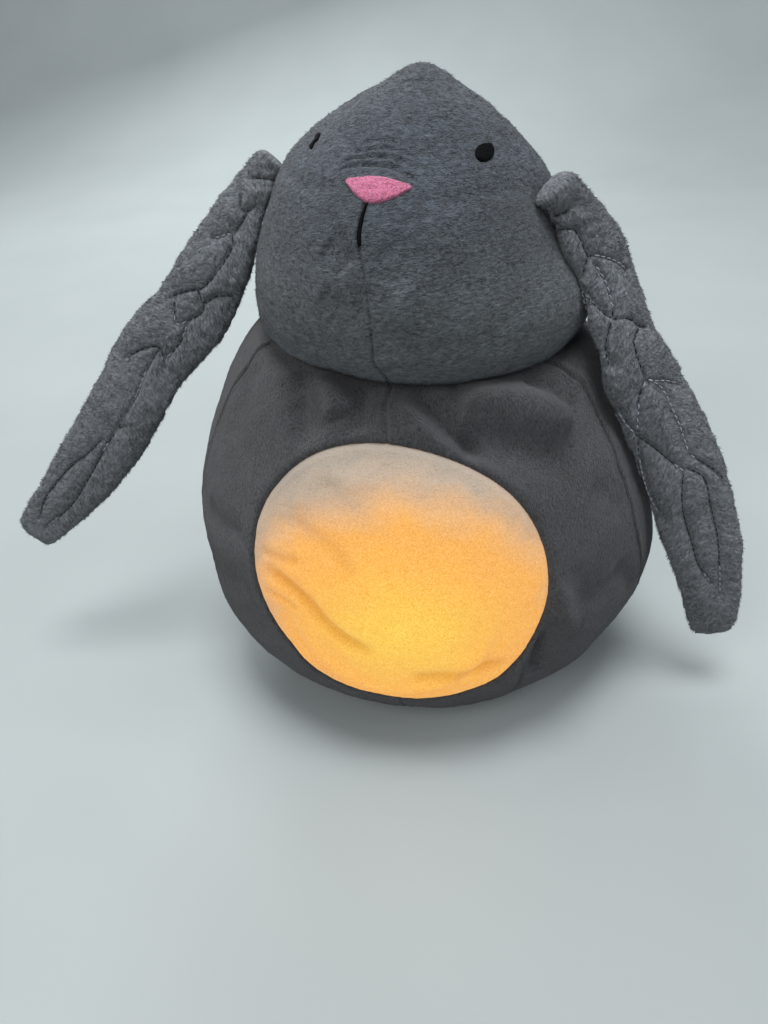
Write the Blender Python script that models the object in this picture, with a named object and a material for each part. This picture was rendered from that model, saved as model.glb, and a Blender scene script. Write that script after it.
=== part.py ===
"""Plush rabbit night light: a stuffed toy with a glowing belly patch.

Metres, +Z up, the toy faces -Y and +X is the viewer's right. The origin is the middle of the flat base.
Run with blender --background --python part.py, or from Blender's text editor.
"""
import bmesh
import bpy
import math
from mathutils import Matrix, Vector

# Cloth and clearances
FABRIC = 0.0025
GAP = 0.0003
SEAM_GAP = 0.0004
CURVED_SEAM_GAP = 0.0007
FILL_SLACK = 0.0012
CUT_OVERRUN = 0.0100

# Body
BODY_HEIGHT = 0.163
BODY_HALF_WIDTH = 0.0985
BODY_HALF_DEPTH = 0.0915
BODY_WIDEST_HEIGHT_SHARE = 0.34
NECK_HALF_WIDTH = 0.0582
NECK_FORWARD = 0.0082
BASE_RIM = 0.0050
BODY_SEAM_ANGLE = 66

# Head
HEAD_HEIGHT = 0.087
HEAD_HALF_WIDTH = 0.0590
SNOUT_REACH = 0.0114
PEAK_FORWARD = 0.0088
PEAK_HALF_WIDTH = 0.0010
HEAD_TURN = 7.4
HEAD_ROLL = 6.2
HEAD_NOD = 1.5
HEAD_SEAM_ANGLE = 86
FACE_SEAM_SHARE = 0.66

# Face
NOSE_HALF_WIDTH = 0.0103
NOSE_HALF_HEIGHT = 0.0029
NOSE_RISE = 0.0028
EYE_HALF_WIDTH = 0.0025
EYE_HALF_HEIGHT = 0.0024
EYE_SPREAD = 0.0268
EYE_RISE = 0.0081
MOUTH_LENGTH = 0.0105
MOUTH_WIDTH = 0.0013
STITCH_HEIGHT = 0.0010

# Belly patch, from the floor, the neck and the body's widest sides
PATCH_FLOOR_CLEARANCE = 0.0350
PATCH_NECK_CLEARANCE = 0.0160
PATCH_SIDE_CLEARANCE = 0.0425

# Ears
EAR_LENGTH = 0.201
EAR_HALF_WIDTH = 0.0158
EAR_HALF_THICKNESS = 0.0058
EAR_ROOT_RADIUS = 0.0048
LEFT_EAR_ROOT_ANGLE = 85
LEFT_EAR_ROOT_SHARE = 0.597
RIGHT_EAR_ROOT_ANGLE = 74
RIGHT_EAR_ROOT_SHARE = 0.635
EAR_SEAT_GAP = 0.0001

# Lamp behind the patch
LAMP_RADIUS = 0.0370
LAMP_DROP = 0.0095
LAMP_TILT = 3
LAMP_DEPTH = 0.0240
LAMP_WALL = 0.0018
DOME_RISE = 0.0105
DOME_WALL = 0.0020
RING_HEIGHT = 0.0030
RING_SHOULDER_SHARE = 0.7
RING_WIDTH = 0.0045
BOARD_RADIUS = 0.0270
BOARD_THICKNESS = 0.0016
BOARD_STANDOFF = 0.0070
BOSS_RADIUS = 0.0032
BOSS_CIRCLE_RADIUS = 0.0220
LED_RADIUS = 0.0025
LED_HEIGHT = 0.0060
LED_CIRCLE_RADIUS = 0.0110
LED_COUNT = 4
SCREW_RADIUS = 0.0010
SCREW_HEAD_RADIUS = 0.0020
SCREW_HEAD_HEIGHT = 0.0011
SCREW_LENGTH = 0.0050
SCREW_COUNT = 3

# Battery unit in the base
CELL_RADIUS = 0.00525
CELL_LENGTH = 0.0438
CELL_NUB_RADIUS = 0.0019
CELL_NUB_LENGTH = 0.0010
CELL_ROUNDING = 0.0005
CELL_COUNT = 3
SPRING_LENGTH = 0.0042
SPRING_RADIUS = 0.0034
SPRING_WIRE_RADIUS = 0.00035
SPRING_TURNS = 3
CONTACT_THICKNESS = 0.0005
BOX_WALL = 0.0014
BOX_SET_BACK = 0.0040
BOX_RECESS = 0.0008
FLANGE_WIDTH = 0.0025
FLANGE_THICKNESS = 0.0012
DOOR_THICKNESS = 0.0022
DOOR_BARREL_RADIUS = 0.0015
DOOR_PIN_RADIUS = 0.0006

# Power switch beside the battery box
SWITCH_POCKET_WIDTH = 0.0085
SWITCH_POCKET_LENGTH = 0.0170
SWITCH_BODY_HEIGHT = 0.0045
SLIDER_WIDTH = 0.0036
SLIDER_LENGTH = 0.0040
SLIDER_TRAVEL = 0.0040
SLIDER_RECESS = 0.0004
SLIDER_FLANGE_THICKNESS = 0.0008
SLIDER_FLANGE_MARGIN = 0.0010

# Leads
LEAD_RADIUS = 0.0006
LEAD_SPACING = 0.0030
LEAD_STRAIGHT = 0.0040
LEAD_SWEEP = 0.0260
LEAD_CHANNEL_RADIUS = 0.0032

# Powers that shape the body's radius from the base rim to its widest ring
LOWER_SWELL_POWER = 1.7
LOWER_ROUNDING_POWER = 0.8
# Radius of the body from its widest ring to the neck, as shares of the fall between them
UPPER_BODY_SHARES = [(0, 1), (0.29, 0.985), (0.6, 0.76), (0.88, 0.31), (1, 0)]
# Share of the body's height above which its rings begin to tilt with the head
LEAN_START_SHARE = 0.76
# Radius of the head from the neck to the cheeks, as shares of the growth between them
CHEEK_SHARE = 0.15
CHEEK_SHARES = [(0, 0), (0.33, 0.72), (1, 1)]
# Radius of the head above the cheeks, as shares of the cheeks' radius
CROWN_SHARES = [(0, 1), (0.12, 0.99), (0.37, 0.905), (0.6, 0.778), (0.77, 0.558), (0.9, 0.32), (0.96, 0.16),
                (1, 0)]
SNOUT_HEIGHT_SHARE = 0.46
SNOUT_SPREAD_SHARE = 0.39

# Half width and half thickness along an ear
EAR_WIDTH_SHARES = [(0.05, 0.46), (0.12, 0.7), (0.25, 0.93), (0.45, 1), (0.62, 1), (0.76, 0.92),
                    (0.88, 0.75), (0.96, 0.55), (1, 0.34)]
EAR_THICKNESS_SHARES = [(0, 0.8), (0.12, 0.88), (0.3, 1), (0.8, 0.95), (0.93, 0.75), (1, 0.2)]
# Ear centre lines: outward, forward and downward shares of the ear's length
LEFT_EAR_SHARES = [(0, 0, 0), (0.034, 0.011, 0.035), (0.07, 0.024, 0.084), (0.118, 0.041, 0.159),
                   (0.183, 0.061, 0.246), (0.279, 0.08, 0.333), (0.359, 0.1, 0.438), (0.444, 0.118, 0.539),
                   (0.535, 0.135, 0.634), (0.636, 0.151, 0.729)]
RIGHT_EAR_SHARES = [(0, 0, 0), (0.038, -0.021, 0.054), (0.085, -0.034, 0.135), (0.111, -0.028, 0.204),
                    (0.146, -0.022, 0.289), (0.188, -0.017, 0.368), (0.236, -0.011, 0.463),
                    (0.283, -0.004, 0.571), (0.324, 0.002, 0.684), (0.353, 0.007, 0.794), (0.373, 0.012, 0.9)]
# Turn of each ear's face away from straight ahead, in degrees, along the ear
LEFT_EAR_TWIST = [(0, 42), (0.15, 26), (0.3, 9), (0.5, 14), (0.75, 0), (1, 0)]
RIGHT_EAR_TWIST = [(0, 36), (0.1, 49), (0.25, 53), (0.5, 28), (0.75, 5), (1, 5)]

# Where an ear's rings lie: in its round root, along it, crowded toward the root, and at its tip
EAR_ROOT_RING_SHARES = [0.97, 0.8, 0.45]
EAR_LAST_RING_SHARE = 0.94
EAR_CROWDING = 1.15
EAR_TIP_RING_SHARES = [0.975, 1]

# Mesh fineness
BODY_SEGMENTS = 32
PANEL_STEPS = 12
ROUND_SEGMENTS = 32
SMALL_SEGMENTS = 12
EAR_RINGS = 18
EAR_ARC_STEPS = 6
PATCH_STEPS = 12
FRONT_RADIAL_STEPS = 7

UP = Vector((0, 0, 1))


def clear_scene():
    for item in list(bpy.data.objects):
        bpy.data.objects.remove(item, do_unlink=True)


def material(name, colour, roughness=0.6, metallic=0.0):
    made = bpy.data.materials.new(name)
    made.use_nodes = True
    shader = made.node_tree.nodes["Principled BSDF"]
    shader.inputs["Base Color"].default_value = (*colour, 1)
    shader.inputs["Roughness"].default_value = roughness
    shader.inputs["Metallic"].default_value = metallic
    return made


def add_mesh(name, verts, faces, finish=None, smooth=True, turn=None):
    """Makes an object from points and faces, with its faces pointing out."""
    mesh = bpy.data.meshes.new(name)
    mesh.from_pydata([tuple(point) for point in verts], [], faces)
    shape = bmesh.new()
    shape.from_mesh(mesh)
    bmesh.ops.recalc_face_normals(shape, faces=shape.faces)
    if shape.calc_volume(signed=True) < 0:
        bmesh.ops.reverse_faces(shape, faces=shape.faces)
    if turn:
        shape.transform(turn)
    shape.to_mesh(mesh)
    shape.free()
    if smooth:
        mesh.shade_smooth()
        mesh.set_sharp_from_angle(angle=math.radians(40))
    item = bpy.data.objects.new(name, mesh)
    if finish:
        mesh.materials.append(finish)
    bpy.context.scene.collection.objects.link(item)
    return item


def move_origin(item, place):
    """Puts the object's origin at a place without moving its surface."""
    item.data.transform(Matrix.Translation(-place))
    item.location = place


def as_cutter(item):
    item.hide_render = True
    item.display_type = "WIRE"
    return item


def boolean(item, other, operation):
    modifier = item.modifiers.new(operation.lower(), "BOOLEAN")
    modifier.operation = operation
    modifier.object = as_cutter(other)
    modifier.solver = "EXACT"


def spaced(start, end, count):
    return [start + (end - start) * step / count for step in range(count + 1)]


def mix(start, end, share):
    return start + (end - start) * share


def ease(share):
    share = min(max(share, 0), 1)
    return share * share * (3 - 2 * share)


def read_curve(points, x):
    """Reads a smooth curve through points sorted by x, without overshoot between them."""
    xs = [point[0] for point in points]
    ys = [point[1] for point in points]
    x = min(max(x, xs[0]), xs[-1])
    slopes = [(ys[i + 1] - ys[i]) / (xs[i + 1] - xs[i]) for i in range(len(xs) - 1)]
    tangents = [slopes[0]]
    for before, after in zip(slopes, slopes[1:]):
        tangents.append(0 if before * after <= 0 else 2 * before * after / (before + after))
    tangents.append(slopes[-1])
    i = max(k for k in range(len(slopes)) if xs[k] <= x)
    width = xs[i + 1] - xs[i]
    t = (x - xs[i]) / width
    rise = ys[i + 1] - ys[i]
    low = tangents[i] * width
    high = tangents[i + 1] * width
    return ys[i] + t * low + t * t * (3 * rise - 2 * low - high) + t * t * t * (low + high - 2 * rise)


# The battery box's sizes come first, because the flat base has to hold its window.

def cell_pitch():
    return 2 * CELL_RADIUS + GAP


def bay_length():
    return CELL_LENGTH + CELL_NUB_LENGTH + SPRING_LENGTH + 2 * CONTACT_THICKNESS + 5 * GAP


def bay_width():
    return CELL_COUNT * cell_pitch() + GAP


def box_length():
    return bay_length() + 2 * BOX_WALL


def box_front():
    return BOX_SET_BACK


def box_width():
    """Across the cells: the bay, its walls and the strip that holds the door screw's boss."""
    return bay_width() + 2 * BOX_WALL + boss_strip()


def boss_strip():
    return 2 * SCREW_HEAD_RADIUS + 2 * GAP


def box_back():
    return box_front() + box_width()


def bay_front():
    return box_front() + BOX_WALL + boss_strip()


def door_top():
    return BOX_RECESS + DOOR_THICKNESS


def bay_floor():
    return BOX_RECESS + 2 * DOOR_BARREL_RADIUS + GAP


def bay_top():
    return bay_floor() + 2 * CELL_RADIUS + GAP


def box_top():
    return bay_top() + BOX_WALL


def pocket_left():
    """Outer side of the switch pocket, beside the battery bay."""
    return -box_length() / 2 - SWITCH_POCKET_WIDTH - BOX_WALL


def pocket_middle():
    return Vector((-box_length() / 2 - SWITCH_POCKET_WIDTH / 2, mix(box_front(), box_back(), 0.42), 0))


def base_half_width():
    """The base's oval clears the outer corners of the box and of its switch pocket by the rim."""
    depth_ratio = BODY_HALF_DEPTH / BODY_HALF_WIDTH
    corner = math.hypot(box_length() / 2, box_back() / depth_ratio)
    pocket_back = pocket_middle().y + SWITCH_POCKET_LENGTH / 2 + BOX_WALL
    side = math.hypot(pocket_left(), pocket_back / depth_ratio)
    return max(corner, side) + BASE_RIM


# Surfaces of the body and the head. An angle of 0 faces the front and 90 faces the viewer's right.

def body_radius(share):
    if share <= BODY_WIDEST_HEIGHT_SHARE:
        grown = (1 - (1 - share / BODY_WIDEST_HEIGHT_SHARE) ** LOWER_SWELL_POWER) ** LOWER_ROUNDING_POWER
        return mix(base_half_width(), BODY_HALF_WIDTH, grown)
    above = (share - BODY_WIDEST_HEIGHT_SHARE) / (1 - BODY_WIDEST_HEIGHT_SHARE)
    return mix(NECK_HALF_WIDTH, BODY_HALF_WIDTH, read_curve(UPPER_BODY_SHARES, above))


def neck_middle():
    return Vector((0, -NECK_FORWARD, BODY_HEIGHT))


def head_tilt():
    return Matrix.Rotation(math.radians(HEAD_ROLL), 3, "Y") @ Matrix.Rotation(math.radians(HEAD_NOD), 3, "X")


def body_point(angle, share):
    """A point of the body's cloth. The rings near the neck tilt with the head."""
    radius = body_radius(share)
    turn = math.radians(angle)
    depth = radius * BODY_HALF_DEPTH / BODY_HALF_WIDTH
    middle = Vector((0, -NECK_FORWARD * share, BODY_HEIGHT * share))
    out = Vector((radius * math.sin(turn), -depth * math.cos(turn), 0))
    lean = ease((share - LEAN_START_SHARE) / (1 - LEAN_START_SHARE))
    if lean == 0:
        return middle + out
    return middle + Matrix.Identity(3).lerp(head_tilt(), lean) @ out


def head_radius(share):
    if share <= CHEEK_SHARE:
        return mix(NECK_HALF_WIDTH, HEAD_HALF_WIDTH, read_curve(CHEEK_SHARES, share / CHEEK_SHARE))
    crown = read_curve(CROWN_SHARES, (share - CHEEK_SHARE) / (1 - CHEEK_SHARE))
    return mix(PEAK_HALF_WIDTH, HEAD_HALF_WIDTH, crown)


def head_point(angle, share):
    """A point of the head's cloth: round rings with a snout in front, tilted about the neck."""
    radius = head_radius(share)
    turn = math.radians(angle)
    round_out = ease(share / CHEEK_SHARE)
    depth = radius * mix(BODY_HALF_DEPTH / BODY_HALF_WIDTH, 1, round_out)
    facing = max(math.cos(turn), 0) ** 2
    swell = math.exp(-((share - SNOUT_HEIGHT_SHARE) / SNOUT_SPREAD_SHARE) ** 2)
    snout = SNOUT_REACH * facing * swell * round_out * min(1, radius / HEAD_HALF_WIDTH * 1.15)
    sideways = radius * math.sin(turn)
    forward = mix(0, PEAK_FORWARD - NECK_FORWARD, share) + (depth + snout) * math.cos(turn)
    turned = Matrix.Rotation(math.radians(-HEAD_TURN * round_out), 3, "Z") @ Vector((sideways, -forward, 0))
    turned.z = HEAD_HEIGHT * share
    return neck_middle() + head_tilt() @ turned


def normal_at(surface, angle, share):
    """The direction out of a surface, from two short steps across it."""
    step = 0.001
    low = min(max(share, step), 1 - step)
    across = surface(angle + 100 * step, low) - surface(angle - 100 * step, low)
    along = surface(angle, low + step) - surface(angle, low - step)
    return across.cross(along).normalized()


def offset_point(surface, angle, share, distance):
    return surface(angle, share) + normal_at(surface, angle, share) * distance


# Cloth panels

def shell(name, outer, inner, finish):
    """Closes a grid of outer points and the matching inner points into one thin solid."""
    rows = len(outer)
    columns = len(outer[0])
    verts = [point for row in outer for point in row] + [point for row in inner for point in row]
    inner_start = rows * columns

    def corner(row, column):
        return row * columns + column

    faces = []
    for row in range(rows - 1):
        for column in range(columns - 1):
            first = corner(row, column)
            quad = [first, first + 1, first + columns + 1, first + columns]
            faces.append(quad)
            faces.append([inner_start + index for index in reversed(quad)])
    rim = [corner(0, column) for column in range(columns - 1)]
    rim += [corner(row, columns - 1) for row in range(rows - 1)]
    rim += [corner(rows - 1, column) for column in range(columns - 1, 0, -1)]
    rim += [corner(row, 0) for row in range(rows - 1, 0, -1)]
    for first, second in zip(rim, rim[1:] + rim[:1]):
        faces.append([second, first, first + inner_start, second + inner_start])
    return add_mesh(name, verts, faces, finish)


def cloth(name, surface, grid, finish, lift=0.0, thickness=FABRIC):
    """A panel whose outer face lies at lift over the surface, from a grid of angles and shares."""
    outer = [[offset_point(surface, angle, share, lift) for angle, share in row] for row in grid]
    inner = [[offset_point(surface, angle, share, lift - thickness) for angle, share in row] for row in grid]
    return shell(name, outer, inner, finish)


def seam_angle(surface, angle, share, side):
    """Moves a panel's edge off its seam by half the seam's gap."""
    middle = surface(180 + angle, share)
    across = max((surface(angle, share) - middle).length / 2, PEAK_HALF_WIDTH)
    return angle + side * math.degrees(SEAM_GAP / 2 / across)


def panel_grid(surface, start, end, low, high, columns, rows):
    grid = []
    for share in spaced(low, high, rows):
        first = seam_angle(surface, start, share, 1)
        last = seam_angle(surface, end, share, -1)
        grid.append([(angle, share) for angle in spaced(first, last, columns)])
    return grid


def body_share_at(height):
    return height / BODY_HEIGHT


def body_spot(x, z):
    """The angle and height share of the front of the body at x beside its middle and z above the floor."""
    share = body_share_at(z)
    return math.degrees(math.asin(x / body_radius(share))), share


def hem_share():
    """The side panels end just above the floor, so that the toy rests on its base panel."""
    return body_share_at(GAP)


def patch_half_width():
    return BODY_HALF_WIDTH - PATCH_SIDE_CLEARANCE


def patch_half_height():
    return (BODY_HEIGHT - PATCH_NECK_CLEARANCE - PATCH_FLOOR_CLEARANCE) / 2


def patch_centre_height():
    return PATCH_FLOOR_CLEARANCE + patch_half_height()


def patch_measure(angle, share, growth):
    """Less than 1 inside the patch's oval, grown by a margin."""
    sideways = body_radius(share) * math.sin(math.radians(angle)) / (patch_half_width() + growth)
    upward = (share * BODY_HEIGHT - patch_centre_height()) / (patch_half_height() + growth)
    return math.hypot(sideways, upward)


def patch_edge(angle, share, growth):
    """The point of the oval on the straight line from the patch's middle to an outer point."""
    middle = body_share_at(patch_centre_height())
    inside = 0
    outside = 1
    for _ in range(30):
        trial = (inside + outside) / 2
        if patch_measure(angle * trial, mix(middle, share, trial), growth) < 1:
            inside = trial
        else:
            outside = trial
    return angle * outside, mix(middle, share, outside)


def front_panel(name, side, finish):
    """One front half of the body's cover, a C round the belly patch."""
    top = 1 - SEAM_GAP / 2 / BODY_HEIGHT
    outline = []
    for share in spaced(top, hem_share(), PANEL_STEPS):
        outline.append((seam_angle(body_point, side * BODY_SEAM_ANGLE, share, -side), share))
    over = [(angle, top) for angle in spaced(0, outline[0][0], PANEL_STEPS // 2)][:-1]
    under = [(angle, hem_share()) for angle in spaced(outline[-1][0], 0, PANEL_STEPS)][1:]
    grid = []
    for angle, share in over + outline + under:
        inner = patch_edge(angle, share, CURVED_SEAM_GAP)
        row = []
        for step in spaced(0, 1, FRONT_RADIAL_STEPS):
            height = mix(inner[1], share, step)
            row.append((off_centre(mix(inner[0], angle, step), height, side), height))
        grid.append(row)
    return cloth(name, body_point, grid, finish)


def off_centre(angle, share, side):
    """Keeps a front panel's points half a seam gap off the centre seam."""
    limit = math.degrees(SEAM_GAP / 2 / body_radius(share))
    return side * max(side * angle, limit)


def patch_grid():
    grid = []
    for upward in spaced(-1, 1, PATCH_STEPS):
        row = []
        for sideways in spaced(-1, 1, PATCH_STEPS):
            x = sideways * math.sqrt(1 - upward * upward / 2) * patch_half_width()
            rise = upward * math.sqrt(1 - sideways * sideways / 2) * patch_half_height()
            row.append(body_spot(x, patch_centre_height() + rise))
        grid.append(row)
    return grid


def ring_solid(name, rings, finish, smooth=True, turn=None):
    """Closes a stack of rings, with a flat cap at each end."""
    count = len(rings[0])
    verts = [point for ring in rings for point in ring]
    faces = [list(range(count))[::-1]]
    for level in range(len(rings) - 1):
        for index in range(count):
            after = (index + 1) % count
            start = level * count
            faces.append([start + index, start + after, start + count + after, start + count + index])
    last = (len(rings) - 1) * count
    faces.append([last + index for index in range(count)])
    return add_mesh(name, verts, faces, finish, smooth, turn)


def stuffing(name, surface, low, high, levels, floor, finish):
    """The filling under a cover: the cover's surface moved in by its thickness and a gap."""
    inset = FABRIC + GAP + FILL_SLACK
    rings = []
    for share in spaced(low, high, levels):
        ring = []
        for step in range(BODY_SEGMENTS):
            point = offset_point(surface, step * 360 / BODY_SEGMENTS, share, -inset)
            point.z = max(point.z, floor)
            ring.append(point)
        rings.append(ring)
    return ring_solid(name, rings, finish)


def base_panel(finish):
    """The flat bottom cloth, a slanted disc inside the lower edge of the side panels."""
    low = []
    high = []
    for step in range(BODY_SEGMENTS * 2):
        angle = step * 180 / BODY_SEGMENTS
        rim = body_point(angle, 0)
        inner = offset_point(body_point, angle, 0, -FABRIC)
        low.append(rim * (1 - CURVED_SEAM_GAP / rim.length))
        level = Vector((inner.x, inner.y, 0))
        level *= 1 - CURVED_SEAM_GAP / level.length
        high.append(Vector((level.x, level.y, FABRIC)))
    return ring_solid("body_base_panel", [low, high], finish, smooth=False)


def block(name, low, high, finish=None):
    corners = []
    for z in (low[2], high[2]):
        for y in (low[1], high[1]):
            corners += [Vector((low[0], y, z)), Vector((high[0], y, z))]
    faces = [(0, 1, 3, 2), (4, 6, 7, 5), (0, 4, 5, 1), (1, 5, 7, 3), (3, 7, 6, 2), (2, 6, 4, 0)]
    return add_mesh(name, corners, faces, finish, smooth=False)


def turned(name, profile, finish, segments=ROUND_SEGMENTS, turn=None):
    """A solid of revolution about Z, from a profile that ends on the axis or closes as a ring."""
    verts = []
    index_rows = []
    for radius, height in profile:
        if radius == 0:
            index_rows.append([len(verts)] * segments)
            verts.append(Vector((0, 0, height)))
            continue
        index_rows.append(list(range(len(verts), len(verts) + segments)))
        for step in range(segments):
            angle = math.tau * step / segments
            verts.append(Vector((radius * math.cos(angle), radius * math.sin(angle), height)))
    if profile[0][0] != 0:
        index_rows.append(index_rows[0])
    faces = []
    for low, high in zip(index_rows, index_rows[1:]):
        for step in range(segments):
            after = (step + 1) % segments
            quad = [low[step], low[after], high[after], high[step]]
            corners = list(dict.fromkeys(quad))
            if len(corners) > 2:
                faces.append(corners)
    return add_mesh(name, verts, faces, finish, True, turn)


def cylinder(name, radius, low, high, finish=None, segments=SMALL_SEGMENTS, turn=None):
    profile = [(0, low), (radius, low), (radius, high), (0, high)]
    return turned(name, profile, finish, segments, turn)


def tube(name, points, radius, finish, resolution=2):
    """A round wire or lead along points, with closed ends."""
    curve = bpy.data.curves.new(name, "CURVE")
    curve.dimensions = "3D"
    curve.bevel_depth = radius
    curve.bevel_resolution = resolution
    curve.use_fill_caps = True
    spline = curve.splines.new("POLY")
    spline.points.add(len(points) - 1)
    for slot, point in zip(spline.points, points):
        slot.co = (*point, 1)
    item = bpy.data.objects.new(name, curve)
    curve.materials.append(finish)
    bpy.context.scene.collection.objects.link(item)
    return item


# Ears

def smooth_line(shares, t):
    """A point on a Catmull-Rom curve through the shares, with t running from 0 to 1 by their count."""
    spans = len(shares) - 1
    i = min(int(t * spans), spans - 1)
    u = t * spans - i
    around = [Vector(shares[min(max(k, 0), spans)]) for k in (i - 1, i, i + 1, i + 2)]
    a, b, c, d = around
    return (b * 2 + (c - a) * u + (a * 2 - b * 5 + c * 4 - d) * u * u + (b * 3 - a - c * 3 + d) * u ** 3) / 2


class Ear:
    """One ear's centre line, face direction and sections, all from its root on the head."""

    def __init__(self, side, root, line, twist):
        self.side = side
        self.twist = twist
        self.root = head_point(*root)
        out = normal_at(head_point, *root)
        self.pivot = self.root + out * (EAR_ROOT_RADIUS + EAR_SEAT_GAP)
        samples = [smooth_line(line, step / 200) for step in range(201)]
        reach = [0]
        for before, after in zip(samples, samples[1:]):
            reach.append(reach[-1] + (after - before).length)
        self.samples = samples
        self.reach = [value / reach[-1] for value in reach]
        self.scale = EAR_LENGTH / reach[-1]

    def centre(self, t):
        """The centre line at a share of the ear's length."""
        i = max(k for k in range(len(self.reach) - 1) if self.reach[k] <= max(t, 0))
        u = (t - self.reach[i]) / (self.reach[i + 1] - self.reach[i])
        out, forward, down = mix(self.samples[i], self.samples[i + 1], u) * self.scale
        return self.pivot + Vector((self.side * out, -forward, -down))

    def frame(self, t):
        """Directions across, out of the face and along the ear."""
        step = 0.004
        along = (self.centre(min(t + step, 1)) - self.centre(max(t - step, 0))).normalized()
        turn = math.radians(read_curve(self.twist, t)) * self.side
        face = Vector((math.sin(turn), -math.cos(turn), 0))
        face = (face - along * face.dot(along)).normalized()
        return face.cross(along), face, along

    def half_sizes(self, t):
        """Half width and half thickness. Before 0 the root closes in a half circle round the pivot."""
        if t < 0:
            rounded = math.sqrt(max(1 - (t * EAR_LENGTH / EAR_ROOT_RADIUS) ** 2, 0))
            return EAR_ROOT_RADIUS * rounded, self.half_sizes(0)[1] * mix(0.35, 1, rounded)
        widths = [(0, EAR_ROOT_RADIUS / EAR_HALF_WIDTH)] + EAR_WIDTH_SHARES
        half_thickness = EAR_HALF_THICKNESS * read_curve(EAR_THICKNESS_SHARES, t)
        return EAR_HALF_WIDTH * read_curve(widths, t), half_thickness

    def section(self, t, angles, inset, lift=0.0):
        """Points round the ear at t, drawn in by an inset that stays inside thin ends."""
        across, face, along = self.frame(t)
        half_width, half_thickness = self.half_sizes(t)
        width = max(half_width - inset, half_width * 0.4)
        thickness = max(half_thickness - inset, half_thickness * 0.4)
        middle = self.centre(max(t, 0)) + along * (min(t, 0) * EAR_LENGTH) + face * lift
        ring = []
        for angle in angles:
            turn = math.radians(angle)
            ring.append(middle + across * width * math.cos(turn) + face * thickness * math.sin(turn))
        return ring


def ear_stations():
    """Shares of the ear's length for its rings, closer together at the round root and the tip."""
    root = EAR_ROOT_RADIUS / EAR_LENGTH
    middle = [share ** EAR_CROWDING for share in spaced(0, EAR_LAST_RING_SHARE, EAR_RINGS - 4)]
    return [-share * root for share in EAR_ROOT_RING_SHARES] + middle + EAR_TIP_RING_SHARES


def ear_half(name, ear, face_side, finish):
    angles = [face_side * angle for angle in spaced(0, 180, EAR_ARC_STEPS)]
    lift = face_side * SEAM_GAP / 2
    outer = [ear.section(t, angles, 0, lift) for t in ear_stations()]
    inner = [ear.section(t, angles, FABRIC, lift) for t in ear_stations()]
    item = shell(name, outer, inner, finish)
    move_origin(item, ear.pivot)
    return item


def ear_wadding(name, ear, finish):
    angles = [step * 360 / (2 * EAR_ARC_STEPS) for step in range(2 * EAR_ARC_STEPS)]
    rings = [ear.section(t, angles, FABRIC + GAP) for t in ear_stations() if 0.05 < t < 0.93]
    item = ring_solid(name, rings, finish)
    move_origin(item, ear.pivot)
    return item


def make_ears(cover, filling):
    left_root = (-LEFT_EAR_ROOT_ANGLE, LEFT_EAR_ROOT_SHARE)
    right_root = (RIGHT_EAR_ROOT_ANGLE, RIGHT_EAR_ROOT_SHARE)
    for side, word, root, line, twist in ((-1, "left", left_root, LEFT_EAR_SHARES, LEFT_EAR_TWIST),
                                          (1, "right", right_root, RIGHT_EAR_SHARES, RIGHT_EAR_TWIST)):
        ear = Ear(side, root, line, twist)
        ear_half(word + "_ear_front_panel", ear, 1, cover)
        ear_half(word + "_ear_back_panel", ear, -1, cover)
        ear_wadding(word + "_ear_wadding", ear, filling)
        print(word, "ear pivot", [round(value, 4) for value in ear.pivot])


# Head and face

def make_head(cover, filling):
    low = SEAM_GAP / HEAD_HEIGHT
    seam = FACE_SEAM_SHARE
    half_gap = SEAM_GAP / 2 / HEAD_HEIGHT
    side = HEAD_SEAM_ANGLE
    steps = PANEL_STEPS
    panels = [("head_forehead_panel", -side, side, seam + half_gap, 1, steps, 6),
              ("head_left_cheek_panel", -side, 0, low, seam - half_gap, 7, steps - 4),
              ("head_right_cheek_panel", 0, side, low, seam - half_gap, 7, steps - 4),
              ("head_back_left_panel", 180, 360 - side, low, 1, 7, steps),
              ("head_back_right_panel", side, 180, low, 1, 7, steps)]
    for name, start, end, bottom, top, columns, rows in panels:
        grid = panel_grid(head_point, start, end, bottom, top, columns, rows)
        cloth(name, head_point, grid, cover)
    stuffing("head_stuffing", head_point, low, 0.955, 12, 0, filling)


def face_spot(x, z):
    """The angle and height share of a point seen x beside and z above the neck, in the head's own frame."""
    share = z / HEAD_HEIGHT
    return math.degrees(math.asin(x / head_radius(share))), share


def stitched(name, middle, outline, steps, finish):
    """An embroidered shape that lies on the head's cloth. The outline gives half sizes for a unit square."""
    grid = []
    for upward in spaced(-1, 1, steps):
        row = []
        for sideways in spaced(-1, 1, steps):
            x, z = outline(sideways, upward)
            row.append(face_spot(middle[0] + x, middle[1] + z))
        grid.append(row)
    lift = GAP + STITCH_HEIGHT
    return cloth(name, head_point, grid, finish, lift, STITCH_HEIGHT)


def oval(half_width, half_height):
    def place(sideways, upward):
        return (sideways * math.sqrt(1 - upward * upward / 2) * half_width,
                upward * math.sqrt(1 - sideways * sideways / 2) * half_height)
    return place


def nose_shape(sideways, upward):
    """A gently arched top and a deeper curve below, meeting in a corner at each side."""
    arch = 1 - sideways * sideways
    top = mix(0.15, 1, arch)
    bottom = mix(0.05, -1, arch ** 0.8)
    return sideways * NOSE_HALF_WIDTH, mix(bottom, top, (upward + 1) / 2) * NOSE_HALF_HEIGHT


def strip(half_width, half_height):
    def place(sideways, upward):
        return sideways * half_width, upward * half_height
    return place


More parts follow.
